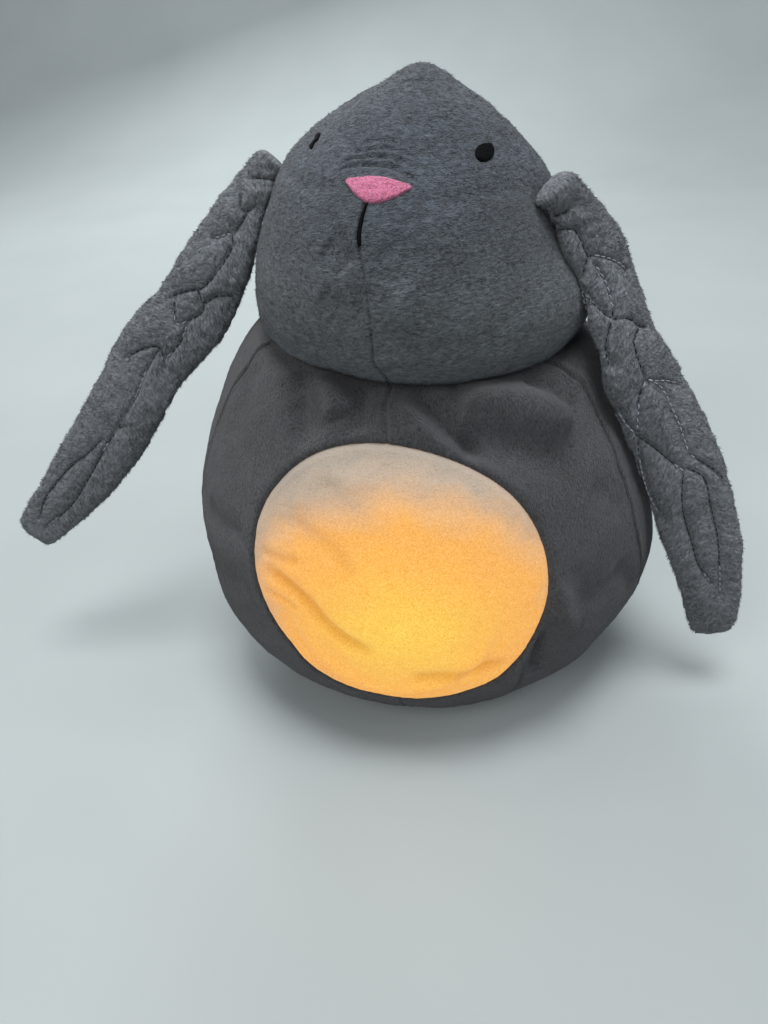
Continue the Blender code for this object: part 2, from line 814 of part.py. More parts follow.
def make_face(pink, black):
    nose_height = FACE_SEAM_SHARE * HEAD_HEIGHT + NOSE_RISE
    stitched("nose", (0, nose_height), nose_shape, 6, pink)
    mouth_middle = nose_height - NOSE_HALF_HEIGHT - GAP - MOUTH_LENGTH / 2
    stitched("mouth_line", (0, mouth_middle), strip(MOUTH_WIDTH / 2, MOUTH_LENGTH / 2), 4, black)
    shape = oval(EYE_HALF_WIDTH, EYE_HALF_HEIGHT)
    stitched("left_eye", (-EYE_SPREAD, nose_height + EYE_RISE), shape, 5, black)
    stitched("right_eye", (EYE_SPREAD, nose_height + EYE_RISE), shape, 5, black)


# Lamp unit. Its own frame has +Z out through the patch and 0 at the housing's rim.

def behind_cloth(x, z):
    """The place just behind the front cloth, at x beside the middle and z above the floor."""
    angle, share = body_spot(x, z)
    return offset_point(body_point, angle, share, -FABRIC - FILL_SLACK)


def lamp_place():
    """The lamp stands as far forward behind the patch as its dome's middle and its ring allow."""
    lean = Matrix.Rotation(math.radians(90 - LAMP_TILT), 4, "X")
    outward = (lean @ Vector((0, 0, 1, 0))).to_3d()
    rim = behind_cloth(0, patch_centre_height() - LAMP_DROP) - outward * (DOME_RISE + SEAM_GAP)
    excess = 0
    for step in range(ROUND_SEGMENTS):
        edge = on_circle(LAMP_RADIUS, ROUND_SEGMENTS, step) + UP * RING_HEIGHT * RING_SHOULDER_SHARE
        edge = rim + lean.to_3x3() @ edge
        excess = max(excess, (edge - behind_cloth(edge.x, edge.z)).dot(outward))
    return Matrix.Translation(rim - outward * excess) @ lean


def board_back():
    return -LAMP_DEPTH + LAMP_WALL + BOARD_STANDOFF + GAP


def on_circle(radius, count, index, start=95):
    angle = math.radians(start + 360 * index / count)
    return Vector((radius * math.cos(angle), radius * math.sin(angle), 0))


def make_lamp(white, frosted, board_green, led_glass, steel, tan):
    place = lamp_place()
    outer = LAMP_RADIUS
    inner = outer - LAMP_WALL
    back = -LAMP_DEPTH
    floor = back + LAMP_WALL
    profile = [(0, back), (outer, back), (outer, 0), (inner, 0), (inner, floor), (0, floor)]
    housing = turned("lamp_housing", profile, white)
    overrun = LAMP_WALL
    for index in range(SCREW_COUNT):
        spot = Matrix.Translation(on_circle(BOSS_CIRCLE_RADIUS, SCREW_COUNT, index))
        low = back + LAMP_WALL / 2
        high = board_back() - GAP
        hole_radius = SCREW_RADIUS + GAP
        walls = [(hole_radius, low), (BOSS_RADIUS, low), (BOSS_RADIUS, high), (hole_radius, high)]
        boolean(housing, turned(f"cut_boss_{index}", walls, None, SMALL_SEGMENTS, spot), "UNION")
    for index, spot in enumerate(lead_holes()):
        hole = cylinder(f"cut_housing_lead_{index}", LEAD_RADIUS + GAP, back - overrun, floor + overrun,
                        turn=Matrix.Translation(spot))
        boolean(housing, hole, "DIFFERENCE")
    place_all(housing, place)

    flange_top = GAP + FLANGE_THICKNESS
    place_all(turned("diffuser_dome", dome_profile(outer - LAMP_WALL / 2 - GAP, flange_top), frosted), place)

    ring_inner = outer - RING_WIDTH
    lip = flange_top + GAP
    step = outer - LAMP_WALL / 2
    shoulder = RING_HEIGHT * RING_SHOULDER_SHARE
    ring = [(outer, GAP), (outer, shoulder), (step, RING_HEIGHT), (ring_inner, RING_HEIGHT),
            (ring_inner, lip), (step, lip), (step, GAP)]
    place_all(turned("lamp_ring", ring, white), place)

    top = board_back() + BOARD_THICKNESS + GAP
    board = cylinder("led_board", BOARD_RADIUS, board_back(), board_back() + BOARD_THICKNESS, board_green,
                     ROUND_SEGMENTS)
    for index in range(SCREW_COUNT):
        spot = Matrix.Translation(on_circle(BOSS_CIRCLE_RADIUS, SCREW_COUNT, index))
        hole = cylinder(f"cut_board_hole_{index}", SCREW_RADIUS + GAP, board_back() - overrun,
                        board_back() + BOARD_THICKNESS + overrun, turn=spot)
        boolean(board, hole, "DIFFERENCE")
        place_all(screw(f"board_screw_{index + 1}", top, steel, spot), place)
    place_all(board, place)

    for index in range(LED_COUNT):
        spot = Matrix.Translation(on_circle(LED_CIRCLE_RADIUS, LED_COUNT, index, 45))
        profile = [(0, top), (LED_RADIUS, top)]
        for angle in spaced(0, math.radians(60), 2):
            lens_middle = top + LED_HEIGHT - LED_RADIUS
            profile.append((LED_RADIUS * math.cos(angle), lens_middle + LED_RADIUS * math.sin(angle)))
        profile.append((0, top + LED_HEIGHT))
        place_all(turned(f"led_{index + 1}", profile, led_glass, SMALL_SEGMENTS, spot), place)
    resistor = cylinder("led_resistor", LED_RADIUS / 2, -LED_RADIUS, LED_RADIUS, tan,
                        turn=along_x(UP * (top + LED_RADIUS / 2)))
    place_all(resistor, place)
    return place


def dome_profile(radius, flange_top):
    """A shallow frosted dome with a flat flange, open behind."""
    edge = LAMP_RADIUS - RING_WIDTH - GAP
    outer = []
    inner = []
    for angle in spaced(0, 90, 5):
        across = math.sin(math.radians(angle))
        up = math.cos(math.radians(angle))
        outer.append((edge * across, flange_top + (DOME_RISE - flange_top) * up))
        inner.append(((edge - DOME_WALL) * across, GAP + (DOME_RISE - DOME_WALL - GAP) * up))
    outer[-1] = (edge, flange_top)
    inner[-1] = (edge - DOME_WALL, GAP)
    return outer + [(radius, flange_top), (radius, GAP)] + inner[::-1]


def screw(name, seat, finish, turn=None, length=SCREW_LENGTH):
    """A pan-head screw along Z, its head over the seat and its shank below."""
    end = seat - length + GAP
    profile = [(0, end), (SCREW_RADIUS * 0.6, end), (SCREW_RADIUS, end + SCREW_RADIUS), (SCREW_RADIUS, seat),
               (SCREW_HEAD_RADIUS, seat), (SCREW_HEAD_RADIUS, seat + SCREW_HEAD_HEIGHT * 0.6),
               (SCREW_HEAD_RADIUS * 0.7, seat + SCREW_HEAD_HEIGHT), (0, seat + SCREW_HEAD_HEIGHT)]
    return turned(name, profile, finish, SMALL_SEGMENTS, turn)


def place_all(item, place):
    item.matrix_world = place @ item.matrix_world
    for modifier in item.modifiers:
        if modifier.type == "BOOLEAN":
            modifier.object.matrix_world = place @ modifier.object.matrix_world


def lead_holes():
    """Where the two leads pass the housing's back, in the lamp's frame."""
    drop = -LAMP_RADIUS / 3
    return [Vector((-LEAD_SPACING / 2, drop, 0)), Vector((LEAD_SPACING / 2, drop, 0))]


# Battery unit

def pocket_floor():
    return BOX_RECESS + BOX_WALL


def slider_top():
    return pocket_floor() + GAP + SLIDER_FLANGE_THICKNESS


def pocket_top():
    return slider_top() + GAP + SWITCH_BODY_HEIGHT


def main_block(name, margin, low, high):
    """A cutter or a wall round the battery bay's outline, grown by a margin."""
    half = box_length() / 2 + margin
    return block(name, (-half, box_front() - margin, low), (half, box_back() + margin, high))


def pocket_block(name, margin, low, high):
    """The same round the switch pocket, ending inside the bay's wall."""
    reach = SWITCH_POCKET_LENGTH / 2 + BOX_WALL + margin
    middle = pocket_middle().y
    return block(name, (pocket_left() - margin, middle - reach, low),
                 (-box_length() / 2 + BOX_WALL / 2, middle + reach, high))


def screw_place():
    return Vector((0, box_front() + BOX_WALL + boss_strip() / 2, BOX_RECESS + SCREW_HEAD_HEIGHT))


def hinge_place():
    return Vector((0, box_back() - BOX_WALL - GAP - DOOR_BARREL_RADIUS, BOX_RECESS + DOOR_BARREL_RADIUS))


def along_x(place):
    return Matrix.Translation(place) @ Matrix.Rotation(math.radians(90), 4, "Y")


def lead_start(side):
    middle = bay_front() + bay_width() / 2
    return Vector((side * LEAD_SPACING / 2, middle, box_top() - BOX_WALL / 2))


def make_battery_box(black):
    half = box_length() / 2
    flange_low = FABRIC + GAP
    flange_high = flange_low + FLANGE_THICKNESS
    box = main_block("battery_box", 0, BOX_RECESS, box_top())
    box.data.materials.append(black)
    for other in (main_block("cut_flange", FLANGE_WIDTH, flange_low, flange_high),
                  pocket_block("cut_pocket", 0, BOX_RECESS, pocket_top()),
                  pocket_block("cut_pocket_flange", FLANGE_WIDTH, flange_low, flange_high)):
        boolean(box, other, "UNION")
    well = block("cut_door_well", (-half + BOX_WALL, box_front() + BOX_WALL, -CUT_OVERRUN),
                 (half - BOX_WALL, box_back() - BOX_WALL, bay_floor()))
    bay = block("cut_bay", (-bay_length() / 2, bay_front(), BOX_RECESS),
                (bay_length() / 2, bay_front() + bay_width(), bay_top()))
    middle = pocket_middle()
    room = Vector((SWITCH_POCKET_WIDTH / 2, SWITCH_POCKET_LENGTH / 2, 0))
    pocket = block("cut_pocket_room", middle - room + UP * pocket_floor(), middle + room + UP * box_top())
    slot_half = Vector((SLIDER_WIDTH / 2 + GAP, (SLIDER_LENGTH + SLIDER_TRAVEL) / 2 + GAP, 0))
    slot = block("cut_slider_slot", middle - slot_half - UP * CUT_OVERRUN,
                 middle + slot_half + UP * box_top())
    sockets = cylinder("cut_pin_sockets", DOOR_PIN_RADIUS + GAP, -half - CUT_OVERRUN, half + CUT_OVERRUN,
                       turn=along_x(hinge_place()))
    boss = cylinder("cut_screw_boss", SCREW_RADIUS + 2 * GAP, 0, SCREW_LENGTH + GAP,
                    turn=Matrix.Translation(screw_place()))
    for other in (well, bay, pocket, slot, sockets, boss):
        boolean(box, other, "DIFFERENCE")
    for index, side in enumerate((-1, 1)):
        start = lead_start(side)
        hole = cylinder(f"cut_box_lead_{index}", LEAD_RADIUS + GAP, -GAP, BOX_WALL,
                        turn=Matrix.Translation(start))
        boolean(box, hole, "DIFFERENCE")


def make_door(black, steel):
    hinge = hinge_place()
    half = box_length() / 2 - BOX_WALL - GAP
    front = box_front() + BOX_WALL + GAP
    door = block("battery_door", (-half, front, BOX_RECESS), (half, hinge.y, door_top()), black)
    barrel = cylinder("cut_barrel", DOOR_BARREL_RADIUS, -half, half, turn=along_x(hinge))
    pin_reach = box_length() / 2 - GAP
    pins = cylinder("cut_pins", DOOR_PIN_RADIUS, -pin_reach, pin_reach, turn=along_x(hinge))
    boolean(door, barrel, "UNION")
    boolean(door, pins, "UNION")
    spot = Matrix.Translation(screw_place())
    head = cylinder("cut_head_recess", SCREW_HEAD_RADIUS + GAP, -CUT_OVERRUN, GAP, turn=spot)
    shank = cylinder("cut_shank_hole", SCREW_RADIUS + GAP, -CUT_OVERRUN, CUT_OVERRUN, turn=spot)
    boolean(door, head, "DIFFERENCE")
    boolean(door, shank, "DIFFERENCE")
    finger = block("cut_finger_grip", (-SLIDER_LENGTH, front + boss_strip(), -CUT_OVERRUN),
                   (SLIDER_LENGTH, front + boss_strip() + SLIDER_WIDTH, BOX_RECESS + DOOR_THICKNESS / 3))
    boolean(door, finger, "DIFFERENCE")
    move_origin(door, hinge)
    screw("door_screw", 0, steel, spot @ Matrix.Rotation(math.radians(180), 4, "X"))


def cell_middle(index):
    across = bay_front() + GAP + CELL_RADIUS + index * cell_pitch()
    return Vector((0, across, bay_top() - GAP - CELL_RADIUS))


def contact_inner():
    """Distance from the bay's middle to the inner face of a contact plate."""
    return bay_length() / 2 - GAP - CONTACT_THICKNESS


def make_cells(sleeve, nickel):
    """Cells lie in turn, so that the bridges join them in a row. The spring is at each flat end."""
    for index in range(CELL_COUNT):
        spring_side = -1 if index % 2 == 0 else 1
        middle = cell_middle(index)
        flat = GAP + SPRING_LENGTH + GAP - contact_inner()
        shoulder = flat + CELL_LENGTH
        tip = shoulder + CELL_NUB_LENGTH
        profile = [(0, flat), (CELL_RADIUS - CELL_ROUNDING, flat), (CELL_RADIUS, flat + CELL_ROUNDING),
                   (CELL_RADIUS, shoulder - CELL_ROUNDING), (CELL_RADIUS - CELL_ROUNDING, shoulder),
                   (CELL_NUB_RADIUS, shoulder), (CELL_NUB_RADIUS, tip), (0, tip)]
        facing = along_x(middle) @ Matrix.Rotation(math.radians(0 if spring_side < 0 else 180), 4, "X")
        turned(f"battery_cell_{index + 1}", profile, sleeve, SMALL_SEGMENTS, facing)
        start = spring_side * (contact_inner() - GAP - SPRING_WIRE_RADIUS)
        end = spring_side * (contact_inner() - GAP - SPRING_LENGTH + SPRING_WIRE_RADIUS)
        points = []
        for step in range(SPRING_TURNS * 8 + 1):
            share = step / (SPRING_TURNS * 8)
            angle = math.tau * SPRING_TURNS * share
            coil = SPRING_RADIUS * mix(1, 0.55, share)
            points.append(Vector((mix(start, end, share), middle.y + coil * math.cos(angle),
                                  middle.z + coil * math.sin(angle))))
        tube(f"contact_spring_{index + 1}", points, SPRING_WIRE_RADIUS, nickel, 1)


def make_contacts(nickel):
    """Single plates at the two ends of the row of cells, and bridges between neighbours."""
    low = bay_floor() + CELL_RADIUS / 2
    high = bay_top() - GAP
    inner = contact_inner()
    for name, side, first, last in (("contact_negative", -1, 0, 0), ("contact_bridge_right", 1, 0, 1),
                                    ("contact_bridge_left", -1, 1, 2), ("contact_positive", 1, 2, 2)):
        start = cell_middle(first).y - CELL_RADIUS + GAP
        end = cell_middle(last).y + CELL_RADIUS - GAP
        near, far = sorted((side * inner, side * (inner + CONTACT_THICKNESS)))
        block(name, (near, start, low), (far, end, high), nickel)


def make_switch(black, steel):
    middle = pocket_middle()
    room = Vector((SWITCH_POCKET_WIDTH / 2 - GAP, SWITCH_POCKET_LENGTH / 2 - GAP, 0))
    block("switch_body", middle - room + UP * (slider_top() + GAP), middle + room + UP * pocket_top(), steel)
    centre = middle - Vector((0, SLIDER_TRAVEL / 2, 0))
    knob = Vector((SLIDER_WIDTH / 2, SLIDER_LENGTH / 2, 0))
    plate = knob + Vector((SLIDER_FLANGE_MARGIN, SLIDER_FLANGE_MARGIN, 0))
    top = UP * slider_top()
    slider = block("power_slider", centre - knob + UP * SLIDER_RECESS, centre + knob + top, black)
    wide = block("cut_slider_flange", centre - plate + UP * (pocket_floor() + GAP), centre + plate + top)
    boolean(slider, wide, "UNION")


def lead_route(side, place):
    """From the battery box's lid, up and forward into the back of the lamp."""
    start = lead_start(side)
    hole = lead_holes()[0 if side < 0 else 1] if side else (lead_holes()[0] + lead_holes()[1]) / 2
    end = place @ (hole + UP * (board_back() - GAP))
    back = (place.to_3x3() @ -UP).normalized()
    straight_end = place @ (hole - UP * (LAMP_DEPTH + LEAD_STRAIGHT))
    rise = start + UP * (BOX_WALL + LEAD_STRAIGHT)
    corners = [rise, rise + UP * LEAD_SWEEP, straight_end + back * LEAD_SWEEP, straight_end]
    points = [start]
    for t in spaced(0, 1, 14):
        a, b, c, d = [corner * weight for corner, weight in
                      zip(corners, ((1 - t) ** 3, 3 * t * (1 - t) ** 2, 3 * t * t * (1 - t), t ** 3))]
        points.append(a + b + c + d)
    return points + [end]


def make_leads(place, red, black):
    tube("red_lead", lead_route(1, place), LEAD_RADIUS, red, 1)
    tube("black_lead", lead_route(-1, place), LEAD_RADIUS, black, 1)


def lead_channel(place):
    """A cutter for the way that the leads part in the filling."""
    route = lead_route(0, place)
    rings = []
    for index, point in enumerate(route):
        along = (route[min(index + 1, len(route) - 1)] - route[max(index - 1, 0)]).normalized()
        side = Vector((1, 0, 0))
        rise = side.cross(along)
        rings.append([point + (side * math.cos(math.tau * step / 8) + rise * math.sin(math.tau * step / 8))
                      * LEAD_CHANNEL_RADIUS for step in range(8)])
    return ring_solid("cut_lead_channel", rings, None)


def make_body(cover, cream, filling, place):
    front_panel("body_front_left_panel", -1, cover)
    front_panel("body_front_right_panel", 1, cover)
    top = 1 - SEAM_GAP / 2 / BODY_HEIGHT
    side = BODY_SEAM_ANGLE
    for name, start, end in (("body_back_left_panel", 180, 360 - side),
                             ("body_back_right_panel", side, 180)):
        cloth(name, body_point, panel_grid(body_point, start, end, hem_share(), top, 10, PANEL_STEPS), cover)
    cloth("belly_patch", body_point, patch_grid(), cream)
    base = base_panel(cover)
    boolean(base, main_block("cut_window", GAP, -CUT_OVERRUN, CUT_OVERRUN), "DIFFERENCE")
    boolean(base, pocket_block("cut_pocket_window", GAP, -CUT_OVERRUN, CUT_OVERRUN), "DIFFERENCE")
    floor = FABRIC + GAP
    body = stuffing("body_stuffing", body_point, 0, top - FABRIC / BODY_HEIGHT / 2, 16, floor, filling)
    flange_high = floor + FLANGE_THICKNESS + GAP
    lamp_room = cylinder("cut_lamp_room", LAMP_RADIUS + GAP, -LAMP_DEPTH - GAP, LAMP_DEPTH,
                         segments=ROUND_SEGMENTS)
    place_all(lamp_room, place)
    for other in (main_block("cut_box_room", GAP, -CUT_OVERRUN, box_top() + GAP),
                  pocket_block("cut_pocket_space", GAP, -CUT_OVERRUN, pocket_top() + GAP),
                  main_block("cut_flange_room", FLANGE_WIDTH + GAP, -CUT_OVERRUN, flange_high),
                  pocket_block("cut_pocket_flange_room", FLANGE_WIDTH + GAP, -CUT_OVERRUN, flange_high),
                  lamp_room, lead_channel(place)):
        boolean(body, other, "DIFFERENCE")


def main():
    clear_scene()
    grey = material("plush_grey", (0.13, 0.13, 0.14), 0.95)
    dark = material("plush_dark_grey", (0.10, 0.10, 0.105), 0.95)
    ear_grey = material("plush_ear_grey", (0.20, 0.20, 0.21), 0.95)
    cream = material("plush_cream", (0.80, 0.70, 0.58), 0.9)
    filling = material("fibre_filling", (0.85, 0.85, 0.83), 0.9)
    pink = material("thread_pink", (0.85, 0.33, 0.45), 0.6)
    black_thread = material("thread_black", (0.02, 0.02, 0.025), 0.6)
    white = material("white_plastic", (0.85, 0.85, 0.83), 0.4)
    frosted = material("frosted_plastic", (0.95, 0.88, 0.75), 0.5)
    black = material("black_plastic", (0.03, 0.03, 0.03), 0.4)
    board_green = material("circuit_board", (0.03, 0.20, 0.08), 0.5)
    led_glass = material("led_resin", (1.0, 0.75, 0.35), 0.2)
    steel = material("steel", (0.6, 0.6, 0.62), 0.3, 1.0)
    nickel = material("nickel_plate", (0.7, 0.68, 0.62), 0.3, 1.0)
    sleeve = material("cell_sleeve", (0.10, 0.25, 0.12), 0.35)
    tan = material("resistor_body", (0.65, 0.50, 0.32), 0.5)
    red_wire = material("red_wire", (0.6, 0.03, 0.03), 0.45)
    black_wire = material("black_wire", (0.02, 0.02, 0.02), 0.45)

    make_head(grey, filling)
    make_face(pink, black_thread)
    place = make_lamp(white, frosted, board_green, led_glass, steel, tan)
    make_body(dark, cream, filling, place)
    make_ears(ear_grey, filling)
    make_battery_box(black)
    make_door(black, steel)
    make_cells(sleeve, nickel)
    make_contacts(nickel)
    make_switch(black, steel)
    make_leads(place, red_wire, black_wire)


main()
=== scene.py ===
import itertools
import math

import bmesh
import bpy
import numpy as np
from mathutils import Matrix, Vector


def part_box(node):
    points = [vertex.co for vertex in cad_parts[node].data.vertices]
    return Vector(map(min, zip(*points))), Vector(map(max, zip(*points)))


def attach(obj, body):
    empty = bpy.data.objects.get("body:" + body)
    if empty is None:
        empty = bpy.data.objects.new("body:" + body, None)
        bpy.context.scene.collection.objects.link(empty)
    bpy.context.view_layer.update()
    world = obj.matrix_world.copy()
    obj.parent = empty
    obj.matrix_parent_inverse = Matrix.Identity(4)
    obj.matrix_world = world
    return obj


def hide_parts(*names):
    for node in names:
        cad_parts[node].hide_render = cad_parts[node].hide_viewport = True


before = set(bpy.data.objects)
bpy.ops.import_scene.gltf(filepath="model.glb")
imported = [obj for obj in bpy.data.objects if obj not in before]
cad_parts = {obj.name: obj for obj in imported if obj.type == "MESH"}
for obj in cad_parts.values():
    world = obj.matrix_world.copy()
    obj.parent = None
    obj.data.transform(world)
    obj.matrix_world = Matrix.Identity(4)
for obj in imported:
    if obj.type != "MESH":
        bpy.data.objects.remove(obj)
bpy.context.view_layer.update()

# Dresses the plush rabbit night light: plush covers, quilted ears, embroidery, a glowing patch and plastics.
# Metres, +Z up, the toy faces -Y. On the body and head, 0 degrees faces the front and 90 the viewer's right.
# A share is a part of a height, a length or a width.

# Sizes shared with the solids
FABRIC = 0.0025
GAP = 0.0003
BODY_HEIGHT = 0.163
BODY_HALF_WIDTH = 0.0985
BODY_HALF_DEPTH = 0.0915
BODY_WIDEST_HEIGHT_SHARE = 0.34
BASE_HALF_WIDTH = 0.0597
NECK_HALF_WIDTH = 0.0582
NECK_FORWARD = 0.0082
LEAN_START_SHARE = 0.76
LOWER_SWELL_POWER = 1.7
LOWER_ROUNDING_POWER = 0.8
UPPER_BODY_SHARES = [(0, 1), (0.29, 0.985), (0.6, 0.76), (0.88, 0.31), (1, 0)]
HEAD_HEIGHT = 0.087
HEAD_HALF_WIDTH = 0.0590
SNOUT_REACH = 0.0114
PEAK_FORWARD = 0.0088
PEAK_HALF_WIDTH = 0.0010
HEAD_TURN = 7.4
HEAD_ROLL = 6.2
HEAD_NOD = 1.5
CHEEK_SHARE = 0.15
CHEEK_SHARES = [(0, 0), (0.33, 0.72), (1, 1)]
CROWN_SHARES = [(0, 1), (0.12, 0.99), (0.37, 0.905), (0.6, 0.778), (0.77, 0.558), (0.9, 0.32), (0.96, 0.16),
                (1, 0)]
SNOUT_HEIGHT_SHARE = 0.46
SNOUT_SPREAD_SHARE = 0.39
PATCH_HALF_WIDTH = 0.056
PATCH_HALF_HEIGHT = 0.056
PATCH_CENTRE_HEIGHT = 0.091
NOSE_HALF_WIDTH = 0.0103
NOSE_HALF_HEIGHT = 0.0029
NOSE_HEIGHT = 0.0602
EYE_HALF_WIDTH = 0.0025
EYE_HALF_HEIGHT = 0.0024
EYE_SPREAD = 0.0268
EYE_HEIGHT = 0.0683
MOUTH_LENGTH = 0.0105
EAR_LENGTH = 0.201
EAR_HALF_WIDTH = 0.0158
EAR_HALF_THICKNESS = 0.0058
LAMP_RADIUS = 0.0370
LAMP_CENTRE_HEIGHT = 0.0815
# Thousandths of the length: out, forwards and down
LEFT_EAR_LINE = [(0, 0, 0), (34, 11, 35), (70, 24, 84), (118, 41, 159), (183, 61, 246), (279, 80, 333),
                 (359, 100, 438), (444, 118, 539), (535, 135, 634), (636, 151, 729)]
RIGHT_EAR_LINE = [(0, 0, 0), (38, -21, 54), (85, -34, 135), (111, -28, 204), (146, -22, 289),
                  (188, -17, 368), (236, -11, 463), (283, -4, 571), (324, 2, 684), (353, 7, 794),
                  (373, 12, 900)]
LEFT_EAR_TWIST = [(0, 42), (0.15, 26), (0.3, 9), (0.5, 14), (0.75, 0), (1, 0)]
RIGHT_EAR_TWIST = [(0, 36), (0.1, 49), (0.25, 53), (0.5, 28), (0.75, 5), (1, 5)]
LEFT_EAR_ROOT = (-0.04734, -0.00773, 0.22252)
RIGHT_EAR_ROOT = (0.05325, -0.03074, 0.21458)
FLANGE_WIDTH = 0.0025
BAY_HALF_LENGTH = 0.02715
SWITCH_FRONT = 0.0109
SWITCH_BACK = 0.0307

# Unevenness of filling, pile and thread, and how the pile's lie wanders: rise or turn, cell and noise seed
CLOTH_LUMPS = ((0.0007, 0.026, 0), (0.0004, 0.011, 1), (0.00016, 0.0032, 2), (0.00012, 0.0017, 3))
EAR_LUMPS = ((0.0006, 0.014, 7), (0.000336, 0.0034, 8), (0.000304, 0.0019, 9))
THREAD_LUMPS = ((1.0, 0.0007, 5), (1.0, 0.0013, 6))
COMB_TURNS = ((1.3, 0.011, 21), (0.8, 0.004, 22))
# These turn the place of a corner of the noise's lattice into a number
HASH_PRIMES = (73856093, 19349663, 83492791)

# Seams and folds are lines of an angle and thousandths of the height. A fold also has a depth and a half
# width in millimetres, and a ridge has a minus.
# The seam in front has this number in both lists of seams
FRONT_SEAM = 1
BODY_SEAM_DEPTH = 0.0013
BODY_SEAM_WIDTH = 0.0008
BODY_SEAMS = [
    [(-66, 0), (-66, 300), (-66, 480), (-67.5, 620), (-67.6, 730), (-66.6, 800), (-63, 877), (-60.1, 925),
     (-60, 1000)],
    [(0, 0), (0, 210), (0.2, 890), (-0.5, 936), (-0.2, 969), (1, 1000)],
    [(70, 0), (71, 140), (71.5, 300), (70, 400), (66, 561), (65.4, 661), (64.5, 757), (66, 880),
     (62, 1000)],
    [(180, 0), (180, 800), (181, 900), (180, 1000)]]
BODY_DART = [(29.5, 410), (29.8, 347), (29.5, 265), (29, 150)]
BODY_FOLDS = [
    ([(7.9, 992), (12.3, 966), (17, 927), (20.3, 891), (23.3, 848)], 4.6, 3.4),
    ([(3.5, 985), (8.1, 945), (12.8, 900), (17, 850)], -1.8, 6),
    ([(22, 975), (34, 962), (45, 925), (52, 870)], -6, 8.5),
    ([(20, 910), (31, 885), (41, 840), (47, 770)], 3.4, 8.5),
    ([(48, 990), (54, 950), (58, 900)], 3, 4.2),
    ([(-25, 990), (-18, 970), (-13.4, 935)], -4.6, 5.8),
    ([(-33, 990), (-29, 955), (-24, 910), (-20, 870)], 2, 5.5),
    ([(-8, 990), (-9, 950), (-7.5, 910)], 2, 4.5),
    ([(-54.7, 960), (-51.6, 883), (-50.8, 820)], 1.6, 5),
    ([(35.5, 540), (39.4, 457), (42.4, 380)], -4, 5.2),
    ([(32, 470), (33, 360), (33, 260)], 4.4, 4.2),
    ([(56, 500), (62, 430), (66, 370)], 1.6, 4.5),
    ([(-58, 630), (-48, 625), (-38, 640)], 1.6, 5),
    ([(-60, 440), (-50, 470), (-40, 490)], 1.4, 6),
    ([(50, 720), (57, 680), (62, 620)], 1.6, 6),
    ([(110, 980), (116, 900), (120, 800)], 1.8, 8.5),
    ([(133, 985), (137, 930), (138, 860)], -1.6, 8.5),
    ([(150, 985), (152, 900), (156, 820)], 1.8, 8.5),
    ([(205, 985), (203, 910), (199, 820)], 1.8, 8.5),
    ([(221, 985), (219, 940), (214, 880)], -1.4, 8.5),
    ([(238, 980), (234, 920), (231, 840)], 1.6, 8.5),
    ([(172, 300), (160, 270), (150, 280)], 1.4, 6),
    ([(120, 200), (112, 270), (100, 300)], 1.4, 6),
    ([(228, 220), (240, 280), (252, 300)], 1.4, 6)]
# Where the filling bulges: angle, share, the spread of each and the rise
BODY_BULGES = [(80, 0.42, 20, 0.13, 0.0042), (90, 0.97, 34, 0.09, 0.0105)]
HEAD_BULGES = [(90, 0.22, 34, 0.2, 0.0088)]
BODY_NECK_TUCK = 0.0028
HEAD_NECK_TUCK = 0.0024
NECK_TUCK_WIDTH = 0.0026
# Rings that turn an edge inwards: a share of its size and a rise
BODY_HEMS = ((0.9, 0.0060), (0.94, 0.0028), (0.975, 0.0008))
BODY_TUCKS = ((0.92, 0.0006), (0.84, 0.0016))
HEAD_TUCKS = ((0.82, 0.0024), (0.9, 0.0010))
BASE_RINGS = ((0.965, 0), (0.982, 0.0003), (0.985, 0.0012), (0.965, 0.0022))
WINDOW_MARGIN = 0.0004
SWITCH_RECESS = 0.0010

# The patch: its folds over the lamp, its edge and the lamp's rim
PATCH_FOLDS = [
    ([(-22.7, 736), (-19.1, 710), (-15.2, 698), (-11.2, 672), (-7, 610)], 0.8, 3.4),
    ([(-31.5, 627), (-24.3, 628), (-20.2, 636)], 1.2, 2.4),
    ([(-31.2, 585), (-25.2, 578), (-18.5, 533), (-14.6, 481), (-9.5, 438), (-3.8, 411)], 1.8, 3.4),
    ([(-31, 528), (-24.8, 518), (-21.3, 497)], 1, 2.2),
    ([(-22.7, 744), (-16.6, 829), (-8.5, 825), (-1.2, 841)], -0.7, 4),
    ([(25.5, 360), (18, 345), (10, 335), (3, 335)], 1.4, 3.2)]
PATCH_SLANT = 0.018
PATCH_SHIFT = 0.0010
PATCH_RISE = 0.0004
PATCH_EDGE_DROP = 0.0018
PATCH_HOLLOW = 0.0034
PATCH_WELT = 0.0003
LAMP_RIM_RISE = 0.0017
LAMP_RIM_WIDTH = 0.0036

